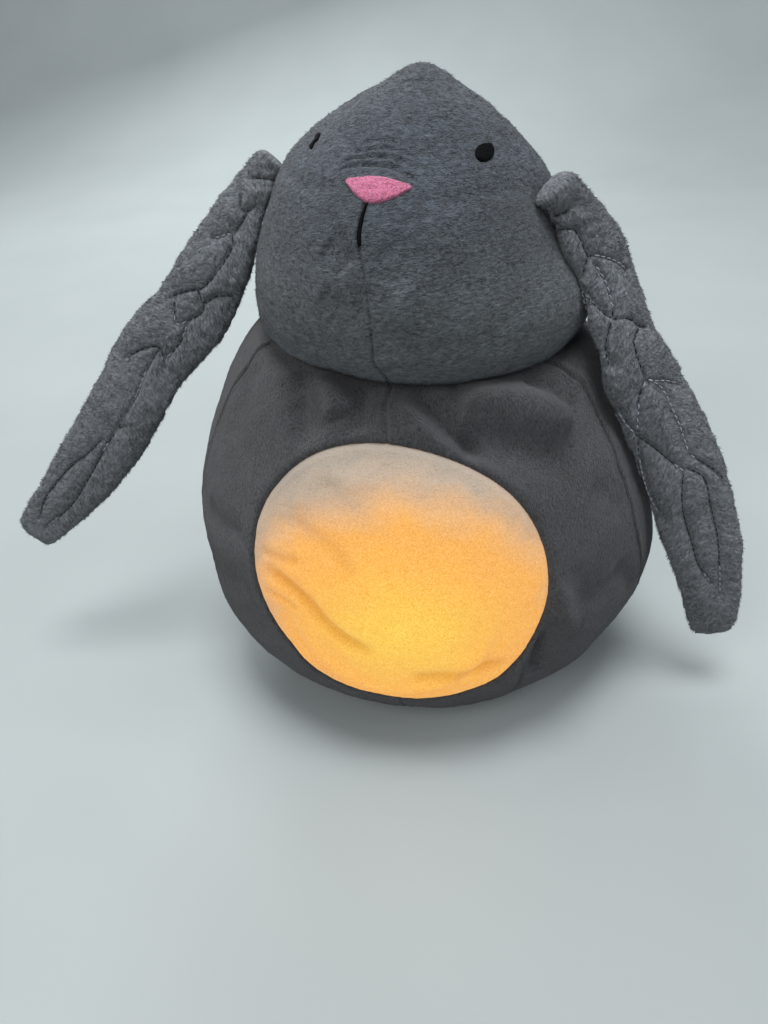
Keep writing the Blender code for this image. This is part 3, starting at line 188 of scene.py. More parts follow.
# The head and the face
HEAD_SEAMS = [
    [(-86, 0), (-86, 1000)],
    [(-1.5, 0), (2.4, 60), (4.6, 126), (4.5, 229), (4, 318), (2.4, 409), (0.4, 485), (-1.8, 545),
     (-2.5, 600), (-2.4, 660)],
    [(86, 0), (86, 1000)],
    [(180, 0), (180, 1000)]]
HEAD_SEAM_DEPTH = 0.0009
HEAD_SEAM_WIDTH = 0.00055
HEAD_FOLDS = [
    ([(-22, 722), (-17, 742), (-8, 755), (3, 756), (10, 742), (15, 722)], 1.1, 0.8),
    ([(-22, 748), (-15, 768), (-5, 779), (5, 776), (12, 760)], 1, 0.8),
    ([(-20, 776), (-12, 792), (-2, 800), (8, 793)], 0.8, 0.9),
    ([(-19, 800), (-6.6, 820), (7, 808)], 0.6, 1),
    ([(14.4, 700), (22, 676), (28.3, 672), (41.3, 678), (57.6, 684), (73.4, 682)], 0.6, 2.6),
    ([(-17, 690), (-30, 665), (-48, 660), (-70, 670)], 0.5, 2.6),
    ([(-15, 530), (-9, 508), (-4.2, 469)], 1.5, 5.5),
    ([(-13, 360), (-6, 330), (2, 310)], 0.8, 6.5),
    ([(6, 550), (10, 500), (8, 430)], 1, 5.5),
    ([(8, 300), (13, 250), (18, 240)], 1, 6)]
CHIN_SHARE = 0.03
CHIN_SPREAD = 0.07
CHIN_DROP = (0, -0.0008, -0.0016)
PEAK_RISE = 0.0019
PEAK_SPREAD = 0.0024
NOSE_MOUND = 0.0010
NOSE_MOUND_SPREAD = 0.0075
EAR_ROOT_DIMPLE = 0.0012
THREAD_SINK = 0.0012
MOUTH_HALF_WIDTH = 0.0007
SLIT_HALF_WIDTH = 0.0008
SLIT_SHIFT = (-0.0019, -0.0012)
EYE_LEAN = -0.4
EYE_SHOWN_HALF_HEIGHT = EYE_HALF_HEIGHT * 0.86

# The ears: widths and thicknesses by shares of the length, and quilting lines
EAR_WIDTH_SHARES = [(0, 0.44), (0.05, 0.57), (0.12, 0.73), (0.25, 0.93), (0.45, 1), (0.62, 1), (0.76, 0.92),
                    (0.88, 0.77), (0.95, 0.65), (0.985, 0.57), (1, 0.44)]
EAR_THICKNESS_SHARES = [(0, 0.74), (0.12, 0.86), (0.3, 1), (0.8, 0.95), (0.93, 0.75), (1, 0.2)]
EAR_PILE = 0.0008
EAR_ROOT_REACH = 0.0046
# Thousandths of the length and hundredths of the half width
RIGHT_QUILTING = [
    [(20, -90), (30, -50), (35, 0)],
    [(34, -100), (50, -83), (67, -46), (107, -50), (122, -50)],
    [(144, -90), (122, -50), (135, -20), (161, 17), (190, 50)],
    [(167, -100), (190, -95), (217, -81), (246, -47), (261, -3), (289, 33), (300, 60)],
    [(139, -45), (178, -40), (218, -42), (246, -47)],
    [(246, -47), (261, -70), (284, -85), (317, -87)],
    [(289, 33), (300, 0), (317, -9), (378, -10)],
    [(378, -10), (394, 13), (406, 37), (430, 70)],
    [(378, -10), (396, -38), (426, -59), (467, -77)],
    [(378, -10), (413, 19), (489, 24), (554, 21)],
    [(401, -96), (433, -90), (467, -76), (504, -52), (546, -28), (582, -2)],
    [(554, 21), (582, 45), (624, 79), (646, 83)],
    [(582, -2), (621, -19), (676, -31), (746, -31), (804, -28), (856, 0)],
    [(583, 10), (617, 40), (678, 37), (750, 37), (822, 29), (887, 24)],
    [(474, -75), (521, -89), (598, -94), (665, -84)]]
LEFT_QUILTING = [
    [(39, -7), (28, 33), (12, 94)],
    [(78, -10), (94, 20), (89, 47), (74, 70)],
    [(167, -33), (156, -6), (141, 18), (156, 40)],
    [(317, -60), (294, -44), (267, -7), (283, 20), (257, 42), (240, 80)],
    [(311, -49), (333, -30), (348, -2), (328, 10), (300, 29), (283, 23)],
    [(472, -46), (439, -26), (411, 0), (422, 27), (437, 46)],
    [(411, 4), (467, 14), (526, 22), (579, 19), (628, 16)],
    [(622, 13), (600, 33)],
    [(628, 16), (678, 13), (732, 18), (778, 23)],
    [(661, -7), (706, -17), (756, -37), (817, -50), (889, -54), (939, -27)],
    [(332, 14), (372, 31), (420, 32)],
    [(156, 40), (194, 30), (250, 7), (267, -7)],
    [(89, 47), (113, 41), (139, 30)],
    [(778, 23), (863, 32), (950, 14)]]
QUILT_VALLEY = 0.0013
QUILT_VALLEY_WIDTH = 0.0042
QUILT_GROOVE = 0.0011
QUILT_GROOVE_WIDTH = 0.0008
STITCH_LENGTH = 0.0020
STITCH_PITCH = 0.0027
STITCH_ARCH = 0.0005
STITCH_RADIUS = {"dark": 0.00017, "glint": 0.00022}
STITCH_SINK = {"dark": 0.0019, "glint": 0.0014}
# The cell of noise that picks which stitches are painted pale as glints
GLINT_STITCH_CELL = 0.011

# Pile that stands off the covers: length and half width of a tuft
HEAD_TUFT = (0.0014, 0.00009)
BODY_TUFT = (0.0011, 0.00008)
EAR_TUFT = (0.0015, 0.00010)
HEAD_TUFTS = 19000
BODY_TUFTS = 19000
EAR_TUFTS = 15000
TUFT_RISE = 0.42
TUFT_SINK = 0.0003

# Mesh fineness
BODY_COLUMNS = (150, 150, 150, 150)
BODY_ROWS = 160
BASE_COLUMNS = 160
HEAD_COLUMNS = (150, 150, 120, 120)
HEAD_ROWS = 165
SEAM_CROWDING = 0.6
EAR_ROWS = 420
EAR_COLUMNS = 150
PATCH_CELLS = 210
STITCH_RINGS = 6
STITCH_SIDES = 6

# Colours, as red, green and blue, and ramps of them
HEAD_GREY = (0.066, 0.075, 0.085)
BODY_GREY = (0.048, 0.047, 0.050)
EAR_GREY = (0.130, 0.140, 0.152)
CREAM = (0.37, 0.325, 0.27)
PINK = (0.55, 0.165, 0.265)
# The patch's colour where the glow shines through: a painted tint of the light
PAINTED_GLOW_AMBER = (0.22, 0.12, 0.025)
WHITE = (1, 1, 1)
# Painted shade and light on the head by height, as the light falls: darker and bluer on the forehead, lighter
# and warmer low down; partly also where the pile lies up or down
HEAD_PAINTED_SHADING = [(0.08, (1.3, 1.28, 1.2)), (0.35, (1.15, 1.14, 1.1)), (0.6, (0.82, 0.84, 0.88)),
            (0.78, (0.7, 0.73, 0.8)), (0.97, (0.85, 0.87, 0.9))]
# The patch's light, from its middle outwards
GLOW_MIDDLE = (0.004, 0.078)
GLOW_REACH = 0.066
GLOW_WIDENING = 0.85
GLOW_WAVER = 0.014
GLOW_STOPS = [(0, (0.86, 0.57, 0.080)), (0.2, (0.84, 0.51, 0.078)), (0.45, (0.82, 0.41, 0.080)),
              (0.62, (0.78, 0.37, 0.09)), (0.72, (0.60, 0.29, 0.085)), (0.80, (0.34, 0.17, 0.06)),
              (0.88, (0.16, 0.085, 0.035)), (0.97, (0.05, 0.028, 0.012))]
# Painted shade in the patch's creases: how far the glow is darkened by the fold depth
CREASE_SHADE_STOPS = [(0.1, (0.80, 0.69, 0.52)), (0.5, (1, 1, 1))]
# Painted pile shade and bluish-white glints in the patch's glow, by the pile's height
PILE_SHADE_AND_GLINT_STOPS = [(0.40, (0.91, 0.79, 0.55)), (0.5, (1.0, 0.99, 0.98)), (0.60, (1.09, 1.18, 1.6))]
MOULDING_GRAIN = 0.00004
METAL_GRAIN = 0.00003

# Camera, as it stood for the photograph
CAMERA_PLACE = (0.0440, -0.2984, 0.2707)
CAMERA_RIGHT = (0.9849, 0.1576, -0.0714)
CAMERA_UP = (-0.0298, 0.5612, 0.8272)
CAMERA_LENS = 27.04
CAMERA_SENSOR = 36

# Studio: the floor bends up into a wall. A light has a place, an aim, a width, a power and a colour.
FLOOR_WIDTH = 6.0
FLOOR_FRONT = -2.5
FLOOR_BACK = 1.0
BEND_RADIUS = 0.9
BEND_STEPS = 12
WALL_HEIGHT = 4.0
LIGHTS = (("key_light", (-0.35, -1.0, 0.95), (0, 0, 0.12), 0.7, 6.0, (1.0, 0.985, 0.96)),
          ("fill_light", (1.1, -0.4, 1.0), (0, 0, 0.12), 0.9, 4.0, (0.95, 0.97, 1.0)),
          ("top_light", (0.10, -0.25, 1.5), (0, -0.02, 0.1), 0.6, 16.0, (0.95, 0.975, 1.0)),
          ("backdrop_light", (-0.5, 0.6, 1.6), (-0.6, 1.7, 0.2), 1.6, 9.0, (0.95, 0.98, 1.0)),
          ("back_light", (-0.5, 1.2, 0.9), (0, 0, 0.12), 0.9, 12.0, (0.95, 0.98, 1.0)))


def mix(start, end, share):
    return start + (end - start) * share


def ease(share):
    share = np.clip(share, 0, 1)
    return share * share * (3 - 2 * share)


def bell(distance, width):
    return np.exp(-(distance / width) ** 2)


def read_curve(points, x):
    """Reads a smooth curve through points sorted by x, without overshoot between them."""
    xs = np.array([point[0] for point in points], float)
    ys = np.array([point[1] for point in points], float)
    x = np.clip(x, xs[0], xs[-1])
    slopes = np.diff(ys) / np.diff(xs)
    inner = [0 if a * b <= 0 else 2 * a * b / (a + b) for a, b in zip(slopes, slopes[1:])]
    tangents = np.array([slopes[0], *inner, slopes[-1]])
    i = np.clip(np.searchsorted(xs, x, side="right") - 1, 0, len(slopes) - 1)
    width = xs[i + 1] - xs[i]
    t = (x - xs[i]) / width
    rise = ys[i + 1] - ys[i]
    low = tangents[i] * width
    high = tangents[i + 1] * width
    return ys[i] + t * low + t * t * (3 * rise - 2 * low - high) + t * t * t * (low + high - 2 * rise)


def lattice_noise(points, cell, seed):
    """Smooth noise from -1 to 1 with bumps of about the cell's size."""
    scaled = points / cell + 17.3 * (seed + 1)
    base = np.floor(scaled).astype(np.int64)
    part = scaled - base
    part = part * part * (3 - 2 * part)
    total = np.zeros(points.shape[:-1])
    for corner in itertools.product((0, 1), repeat=3):
        key = np.bitwise_xor.reduce((base + np.array(corner)) * np.array(HASH_PRIMES), axis=-1)
        key = (key * 1103515245 + 12345) & 0x7FFFFFFF
        key = ((key ^ (key >> 11)) * 48271) & 0x7FFFFFFF
        total += np.where(corner, part, 1 - part).prod(-1) * ((key >> 7 & 0xFFFF) / 32767.5 - 1)
    return total


def layered_noise(points, layers):
    return sum(rise * lattice_noise(points, cell, seed) for rise, cell, seed in layers)


# Surfaces of the body and the head, the same as the solids'

def head_tilt():
    return np.array(Matrix.Rotation(math.radians(HEAD_ROLL), 3, "Y")
                    @ Matrix.Rotation(math.radians(HEAD_NOD), 3, "X"))


def body_radius(share):
    below = np.clip(1 - share / BODY_WIDEST_HEIGHT_SHARE, 0, 1)
    grown = (1 - below ** LOWER_SWELL_POWER) ** LOWER_ROUNDING_POWER
    above = (share - BODY_WIDEST_HEIGHT_SHARE) / (1 - BODY_WIDEST_HEIGHT_SHARE)
    low = mix(BASE_HALF_WIDTH, BODY_HALF_WIDTH, grown)
    high = mix(NECK_HALF_WIDTH, BODY_HALF_WIDTH, read_curve(UPPER_BODY_SHARES, above))
    return np.where(share <= BODY_WIDEST_HEIGHT_SHARE, low, high)


def body_point(angle, share):
    angle, share = np.broadcast_arrays(np.asarray(angle, float), np.asarray(share, float))
    radius = body_radius(share)
    turn = np.radians(angle)
    depth = radius * BODY_HALF_DEPTH / BODY_HALF_WIDTH
    out = np.stack([radius * np.sin(turn), -depth * np.cos(turn), np.zeros_like(radius)], -1)
    middle = np.stack([np.zeros_like(share), -NECK_FORWARD * share, BODY_HEIGHT * share], -1)
    lean = ease((share - LEAN_START_SHARE) / (1 - LEAN_START_SHARE))[..., None]
    return middle + mix(out, out @ head_tilt().T, lean)


def head_radius(share):
    cheek = mix(NECK_HALF_WIDTH, HEAD_HALF_WIDTH, read_curve(CHEEK_SHARES, share / CHEEK_SHARE))
    crown = read_curve(CROWN_SHARES, (share - CHEEK_SHARE) / (1 - CHEEK_SHARE))
    return np.where(share <= CHEEK_SHARE, cheek, mix(PEAK_HALF_WIDTH, HEAD_HALF_WIDTH, crown))


def head_point(angle, share):
    angle, share = np.broadcast_arrays(np.asarray(angle, float), np.asarray(share, float))
    radius = head_radius(share)
    turn = np.radians(angle)
    round_out = ease(share / CHEEK_SHARE)
    depth = radius * mix(BODY_HALF_DEPTH / BODY_HALF_WIDTH, 1, round_out)
    facing = np.maximum(np.cos(turn), 0) ** 2
    swell = bell(share - SNOUT_HEIGHT_SHARE, SNOUT_SPREAD_SHARE)
    snout = SNOUT_REACH * facing * swell * round_out * np.minimum(1, radius / HEAD_HALF_WIDTH * 1.15)
    sideways = radius * np.sin(turn)
    forward = mix(0, PEAK_FORWARD - NECK_FORWARD, share) + (depth + snout) * np.cos(turn)
    yaw = np.radians(-HEAD_TURN * round_out)
    x = sideways * np.cos(yaw) + forward * np.sin(yaw)
    y = sideways * np.sin(yaw) - forward * np.cos(yaw)
    local = np.stack([x, y, HEAD_HEIGHT * share], -1)
    return np.array([0, -NECK_FORWARD, BODY_HEIGHT]) + local @ head_tilt().T


def unit(vectors):
    return vectors / np.maximum(np.linalg.norm(vectors, axis=-1, keepdims=True), 1e-12)


def reach_along(points):
    """The way along a line of points to each of them."""
    return np.concatenate([[0], np.cumsum(np.linalg.norm(np.diff(points, axis=0), axis=1))])


def normals_of(surface, angle, share):
    step = 0.001
    low = np.clip(share, step, 1 - step)
    across = surface(angle + 100 * step, low) - surface(angle - 100 * step, low)
    along = surface(angle, low + step) - surface(angle, low - step)
    return unit(np.cross(across, along))


def seam_columns(seams, shares, counts):
    """Angles of the columns for each height share, closest together along the seams."""
    edges = [np.interp(shares, [spot[1] / 1000 for spot in seam], [spot[0] for spot in seam])
             for seam in seams]
    columns = []
    for start, end, count in zip(edges, edges[1:] + [edges[0] + 360], counts):
        t = np.arange(count) / count
        t = t - SEAM_CROWDING * np.sin(math.tau * t) / math.tau
        columns.append(start[:, None] + (end - start)[:, None] * t)
    return np.concatenate(columns, axis=1)


def even_shares(surface, count, low):
    """Height shares that lie evenly along the surface's side."""
    fine = np.linspace(low, 1, 600)
    reach = reach_along(surface(np.full_like(fine, 90.0), fine))
    return np.interp(np.linspace(0, reach[-1], count + 1), reach, fine)


def cover_grid(surface, seams, columns, rows, low):
    """Angles, shares, points and ways out of a grid on a surface, in rows up from a lowest share."""
    shares = even_shares(surface, rows, low)
    angle = seam_columns(seams, shares, columns)
    share = np.broadcast_to(shares[:, None], angle.shape)
    return angle, share, surface(angle, share), normals_of(surface, angle, share)


def near_line(points, line):
    """Distance from each point to a line of points, and the place along it from 0 to 1."""
    best = np.full(points.shape[:-1], 1e9)
    place = np.zeros(points.shape[:-1])
    spans = len(line) - 1
    for index in range(spans):
        start = line[index]
        span = line[index + 1] - start
        share = np.clip((points - start) @ span / (span @ span), 0, 1)
        squared = ((points - start - share[..., None] * span) ** 2).sum(-1)
        nearer = squared < best
        best = np.where(nearer, squared, best)
        place = np.where(nearer, (index + share) / spans, place)
    return np.sqrt(best), place


def smooth_points(points, steps=6):
    """Adds points on a smooth curve through the given ones."""
    points = np.array(points, float)
    if len(points) < 3:
        return points
    rows = []
    last = len(points) - 1
    for i in range(last):
        a, b, c, d = (points[min(max(k, 0), last)] for k in (i - 1, i, i + 1, i + 2))
        for u in np.arange(steps) / steps:
            rows.append((b * 2 + (c - a) * u + (a * 2 - b * 5 + c * 4 - d) * u * u
                         + (b * 3 - a - c * 3 + d) * u ** 3) / 2)
    return np.array(rows + [points[-1]])


def pressed(points, line, depth, width, taper=True):
    """How far a stitched or folded line presses the cloth in. The cloth swells a little on both sides."""
    distance, place = near_line(points, line)
    ends = np.minimum(1, 6 * np.minimum(place, 1 - place) + 0.05) if taper else 1
    swell = 0.22 * bell(distance - 2.1 * width, 1.2 * width)
    return depth * ends * (swell - bell(distance, width))


def surface_line(surface, line):
    line = smooth_points(line)
    return surface(line[:, 0], line[:, 1] / 1000)


def folded(surface, points, folds):
    """How far folds move the cloth at points of a surface."""
    return sum(pressed(points, surface_line(surface, line), depth / 1000, width / 1000)
               for line, depth, width in folds)


def seamed(surface, points, seams, front_depth, depth, width):
    """How far seams press the cloth in, where the one in front has its own depth."""
    depths = [front_depth if number == FRONT_SEAM else depth for number in range(len(seams))]
    return sum(pressed(points, surface_line(surface, line), line_depth, width, False)
               for line, line_depth in zip(seams, depths))


def drawn_in(edge, centre, steps):
    """Rings inside an edge, for pairs of a share of its size and a rise."""
    return np.array([centre + (edge - centre) * share + np.array([0, 0, rise]) for share, rise in steps])


# Meshes

def mesh_object(name, verts, faces, finish, smooth=True):
    mesh = bpy.data.meshes.new(name)
    mesh.from_pydata(np.asarray(verts).reshape(-1, 3).tolist(), [], faces)
    mesh.validate()
    if smooth:
        mesh.shade_smooth()
    mesh.materials.append(finish)
    item = bpy.data.objects.new(name, mesh)
    bpy.context.scene.collection.objects.link(item)
    return item


def grid_faces(rows, columns, wrap):
    row, column = np.meshgrid(np.arange(rows - 1), np.arange(columns if wrap else columns - 1), indexing="ij")
    after = (column + 1) % columns
    low = row * columns
    high = low + columns
    return np.stack([low + column, low + after, high + after, high + column], -1).reshape(-1, 4).tolist()


def tube_faces(rows, columns, bottom=True):
    """Faces of rings joined into a tube, with its top closed, and its bottom where wanted."""
    faces = grid_faces(rows, columns, True)
    if bottom:
        faces.append(list(range(columns))[::-1])
    return faces + [[(rows - 1) * columns + column for column in range(columns)]]


def sheet(name, front, back, finish):
    """Two square grids of points joined along their rims into a closed sheet."""
    count = len(front)
    faces = grid_faces(count, count, False)
    faces += [[index + count * count for index in face[::-1]] for face in faces]
    grid = np.arange(count * count).reshape(count, count)
    rim = np.concatenate([grid[0], grid[1:, -1], grid[-1, -2::-1], grid[-2:0:-1, 0]]).tolist()
    for first, second in zip(rim, rim[1:] + rim[:1]):
        faces.append([second, first, first + count * count, second + count * count])
    return mesh_object(name, np.concatenate([front.reshape(-1, 3), back.reshape(-1, 3)]), faces, finish)


def square_grid(cells):
    side = np.linspace(-1, 1, cells + 1)
    return np.meshgrid(side, side)


def disc(sideways, upward):
    """A square from -1 to 1 rounded into a disc."""
    return sideways * np.sqrt(1 - upward * upward / 2), upward * np.sqrt(1 - sideways * sideways / 2)


def lay_coordinates(item, values):
    """Stores for each vertex the two lengths along which its pile is combed."""
    layer = item.data.attributes.new("pile", "FLOAT_VECTOR", "POINT")
    layer.data.foreach_set("vector", np.asarray(values, np.float32).reshape(-1))


def piece(item, body, slot, *nodes):
    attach(item, body)
    if nodes:
        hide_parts(*nodes)


# Materials

class Look:
    """A material whose colour and relief come from noise."""

    def __init__(self, name, roughness, metallic=0.0, sheen=0.0, sheen_roughness=0.4, specular=0.5):
        self.material = bpy.data.materials.new(name)
        self.material.use_nodes = True
        self.tree = self.material.node_tree
        self.shader = self.tree.nodes["Principled BSDF"]
        for key, value in (("Roughness", roughness), ("Metallic", metallic), ("Sheen Weight", sheen),
                           ("Sheen Roughness", sheen_roughness), ("Specular IOR Level", specular)):
            self.shader.inputs[key].default_value = value

    def node(self, kind, sockets=(), **values):
        made = self.tree.nodes.new(kind)
        for key, value in values.items():
            setattr(made, key, value)
        for key, value in sockets:
            if isinstance(value, bpy.types.NodeSocket):
                self.link(value, made.inputs[key])
            else:
                made.inputs[key].default_value = value
        return made

    def link(self, source, target):
        self.tree.links.new(source, target)

    def place(self, scale=(1, 1, 1), attribute=None):
        if attribute:
            source = self.node("ShaderNodeAttribute", attribute_name=attribute).outputs["Vector"]
        else:
            source = self.node("ShaderNodeTexCoord").outputs["Object"]
        return self.node("ShaderNodeMapping", [("Scale", scale), ("Vector", source)]).outputs["Vector"]

    def noise(self, place, scale, detail=2.0, roughness=0.5, distortion=0.0):
        return self.node("ShaderNodeTexNoise", [
            ("Scale", scale), ("Detail", detail), ("Roughness", roughness), ("Distortion", distortion),
            ("Vector", place)]).outputs["Fac"]

    def ramp(self, value, stops):
        made = self.node("ShaderNodeValToRGB", [("Fac", value)])
        ramp = made.color_ramp
        while len(ramp.elements) < len(stops):
            ramp.elements.new(1)
        for element, (spot, colour) in zip(ramp.elements, stops):
            element.position = spot
            element.color = (*colour, 1)
        return made.outputs["Color"]

    def shades(self, value, colour, stops):
        """One colour made darker or lighter, by pairs of a place on the ramp and a factor."""
        return self.ramp(value, [(spot, [channel * factor for channel in colour]) for spot, factor in stops])

    def times(self, first, second):
        """One colour multiplied by another."""
        return self.node("ShaderNodeMix", [(0, 1.0), (6, first), (7, second)], data_type="RGBA",
                         blend_type="MULTIPLY").outputs[2]

    def compute(self, first, second, kind="ADD"):
        return self.node("ShaderNodeMath", [(0, first), (1, second)], operation=kind).outputs[0]

    def weighted(self, first, second, share):
        """A mean of two values, of which the first counts for a share."""
        rest = self.compute(second, 1 - share, "MULTIPLY")
        return self.compute(self.compute(first, share, "MULTIPLY"), rest)

    def finish(self, colour, height=None, distance=0.0):
        """Gives the surface its colour, and relief from a height over a distance."""
        self.link(colour, self.shader.inputs["Base Color"])
        if height is not None:
            sockets = [("Strength", 1.0), ("Distance", distance), ("Height", height)]
            bump = self.node("ShaderNodeBump", sockets)
            self.link(bump.outputs["Normal"], self.shader.inputs["Normal"])
        return self.material


def plush(name, colour, clump, stretch, contrast, relief, patches=0.18, attribute=None, painted_shading=None):
    """Pile cloth: clumps of fibres combed one way, finer fibres over them, and broad patches of tone. The
    clumps' colour follows their relief: partly the pile's own mottle, partly painted shade in the hollows and
    painted sheen on their tops.
    """
    look = Look(name, 0.95, sheen=0.2, sheen_roughness=0.55, specular=0.12)
    combed = look.place(stretch, attribute)
    clumps = look.noise(combed, 1 / clump, 3.0, 0.62, 0.7)
    fibres = look.noise(combed, 3.4 / clump, 2.0, 0.6, 0.4)
    broad = look.noise(look.place(), 45, 2.0, 0.5, 0.6)
    height = look.weighted(clumps, fibres, 0.7)
    # Painted shade in the hollows between clumps and painted sheen on their tops, over the pile's own mottle
    shade = look.shades(height, colour, ((0.32, 1 - contrast), (0.5, 1), (0.68, 1 + contrast)))
    tone = look.shades(broad, WHITE, ((0.3, 1 - patches), (0.7, 1 + patches / 2)))
    # Painted shade and light by height on the head, as the light falls, partly also the pile's lie
    if painted_shading:
        upward = look.node("ShaderNodeSeparateXYZ", [(0, look.place())]).outputs["Z"]
        level = look.compute(look.compute(upward, BODY_HEIGHT, "SUBTRACT"), HEAD_HEIGHT, "DIVIDE")
        tone = look.times(tone, look.ramp(level, painted_shading))
    return look.finish(look.times(shade, tone), height, relief)


def plastic(name, colour, roughness, grain=0.0):
    look = Look(name, roughness)
    broad = look.noise(look.place(), 220, 3.0)
    fine = look.noise(look.place(), 2600)
    shade = look.shades(broad, colour, ((0.3, 0.86), (0.7, 1.1)))
    return look.finish(shade, fine, MOULDING_GRAIN + grain)


def metal(name, colour, roughness):
    look = Look(name, roughness, 1.0)
    drawn = look.noise(look.place((1, 1, 12)), 900, 3.0)
    worn = look.noise(look.place(), 300, 4.0, 0.6)
    shade = look.shades(worn, colour, ((0.3, 0.7), (0.6, 1), (0.8, 1.1)))
    return look.finish(shade, drawn, METAL_GRAIN)


def embroidery(name, colour, contrast, scale, relief, sheen=0.0):
    look = Look(name, 0.85, sheen=sheen, specular=0.1)
    loops = look.noise(look.place(), scale, 2.0, 0.6, 0.8)
    shade = look.shades(loops, colour, ((0.36, 1 - contrast), (0.52, 1), (0.68, 1 + contrast / 2)))
    return look.finish(shade, loops, relief)


def glowing_cloth(name):
    """Cream plush with the lamp's light coming through it, brightest in front of the lamp."""
    look = Look(name, 0.95, sheen=0.15, sheen_roughness=0.5, specular=0.1)
    place = look.place()
    height = look.weighted(look.noise(place, 1500, 3.0, 0.6, 0.6), look.noise(place, 3600), 0.6)
    # Painted shade in the creases: the glow is darkened where folds press the cloth in
    crease = look.node("ShaderNodeAttribute", attribute_name="crease").outputs["Fac"]
    folds = look.ramp(look.compute(look.compute(crease, 0.25, "MULTIPLY"), 0.5), CREASE_SHADE_STOPS)
    level = look.node("ShaderNodeVectorMath", [(0, place), (1, (GLOW_WIDENING, 0, 1))], operation="MULTIPLY")
    middle = (GLOW_MIDDLE[0] * GLOW_WIDENING, 0, GLOW_MIDDLE[1])
    apart = look.node("ShaderNodeVectorMath", [(0, level.outputs[0]), (1, middle)], operation="DISTANCE")
    broad = look.noise(place, 55, 2.0, 0.5, 0.5)
    wavy = look.compute(look.compute(broad, 0.5, "SUBTRACT"), GLOW_WAVER, "MULTIPLY")
    reach = look.compute(look.compute(apart.outputs["Value"], wavy), GLOW_REACH, "DIVIDE")
    # The glow, with painted shade in the creases and painted pile shade and glints
    lit = look.times(look.times(look.ramp(reach, GLOW_STOPS), look.ramp(height, PILE_SHADE_AND_GLINT_STOPS)), folds)
    look.link(lit, look.shader.inputs["Emission Color"])
    look.shader.inputs["Emission Strength"].default_value = 1.0
    # The cloth's colour is painted amber where the glow shines through, a painted tint of the light, and
    # cream beyond
    cloth = look.ramp(reach, [(0, PAINTED_GLOW_AMBER), (0.62, PAINTED_GLOW_AMBER), (0.86, CREAM)])
    grain = look.shades(height, WHITE, ((0.34, 0.78), (0.5, 0.97), (0.66, 1)))
    return look.finish(look.times(cloth, grain), height, 0.0005)


head_plush = plush("head_pile", HEAD_GREY, 0.0012, (0.55, 0.55, 1.5), 0.9, 0.0019, painted_shading=HEAD_PAINTED_SHADING)
body_plush = plush("body_pile", BODY_GREY, 0.0009, (1.3, 1.3, 0.7), 0.95, 0.0017, patches=0.2)
ear_plush = plush("ear_pile", EAR_GREY, 0.0013, (0.5, 1.6, 1), 0.85, 0.0016, attribute="pile")
patch_plush = glowing_cloth("patch_pile")
pink_thread = embroidery("pink_thread", PINK, 0.55, 2300, 0.0005, 0.2)
black_thread = embroidery("black_thread", (0.0012, 0.0013, 0.0022), 0.5, 1800, 0.0003)
dark_thread = embroidery("dark_thread", (0.012, 0.012, 0.016), 0.4, 2400, 0.0001)
# Stitches painted pale as glints of light on the dark thread
glint_thread = embroidery("glint_thread", (0.28, 0.29, 0.33), 0.4, 2400, 0.0001)


# Pile

def points_on(surface, normals, wanted, count, seed):
    """Random places on a grid of surface points, as many to each square millimetre, with the way out."""
    rng = np.random.default_rng(seed)
    corner = surface[:-1, :-1]
    across = surface[:-1, 1:] - corner
    along = surface[1:, :-1] - corner
    area = np.linalg.norm(np.cross(across, along), axis=-1) * wanted[:-1, :-1]
    chosen = rng.choice(area.size, count, p=area.ravel() / area.sum())
    u, v = rng.random((2, count, 1))
    corner, across, along, normals = (grid.reshape(-1, 3)[chosen] for grid in
                                      (corner, across, along, normals[:-1, :-1]))
    return corner + across * u + along * v, normals, rng


def comb_down(spots, normals):
    """The pile lies downwards, and turns from place to place."""
    down = np.array([0, 0, -1.0]) - normals * -normals[:, 2:]
    side = np.cross(down, normals)
    turn = layered_noise(spots, COMB_TURNS)
    return down * np.cos(turn)[:, None] + side * np.sin(turn)[:, None]


def grow_pile(name, places, comb, tuft, finish):
    """Thin closed tufts of fibre on a cover, leaning the way that the pile is combed."""
    spots, normals, rng = places
    length, half_width = tuft
    lay = unit(comb(spots, normals)) + rng.normal(0, 0.25, spots.shape)
    ahead = unit(lay + normals * (TUFT_RISE + rng.random((len(spots), 1)) * TUFT_RISE))
    side = unit(np.cross(ahead, normals))
    top = np.cross(side, ahead)
    root = spots - normals * TUFT_SINK
    tip = root + ahead * length * rng.uniform(0.6, 1.1, (len(spots), 1))
    middle = (root + tip) / 2 + normals * length * 0.05
    wide = side * half_width
    verts = np.stack([root - wide, root + wide, root + top * half_width,
                      middle - wide * 1.1, middle + wide * 1.1, middle + top * half_width, tip], 1)
    shapes = ((2, 1, 0), (0, 1, 4, 3), (1, 2, 5, 4), (2, 0, 3, 5), (3, 4, 6), (4, 5, 6), (5, 3, 6))
    first = np.arange(len(spots))[:, None] * verts.shape[1]
    faces = [face for shape in shapes for face in (first + np.array(shape)).tolist()]
    return mesh_object(name, verts, faces, finish)


# Body

def slanted(sideways, upward):
    """The patch's oval is a little longer from its upper left to its lower right."""
    return 1 - 2 * PATCH_SLANT * sideways * upward / np.maximum(sideways ** 2 + upward ** 2, 1e-9)


def inside_patch(angle, share):
    """Less than 1 inside the patch's oval, on the front of the body."""
    sideways = (body_radius(share) * np.sin(np.radians(angle)) - PATCH_SHIFT) / PATCH_HALF_WIDTH
    upward = (share * BODY_HEIGHT - PATCH_CENTRE_HEIGHT) / PATCH_HALF_HEIGHT
    measure = np.hypot(sideways, upward) / slanted(sideways, upward)
    return np.where(np.cos(np.radians(angle)) > 0, measure, 9)


def bulged(angle, share, bulges):
    return sum(rise * bell(angle - middle, spread) * bell(share - middle_share, share_spread)
               for middle, middle_share, spread, share_spread, rise in bulges)


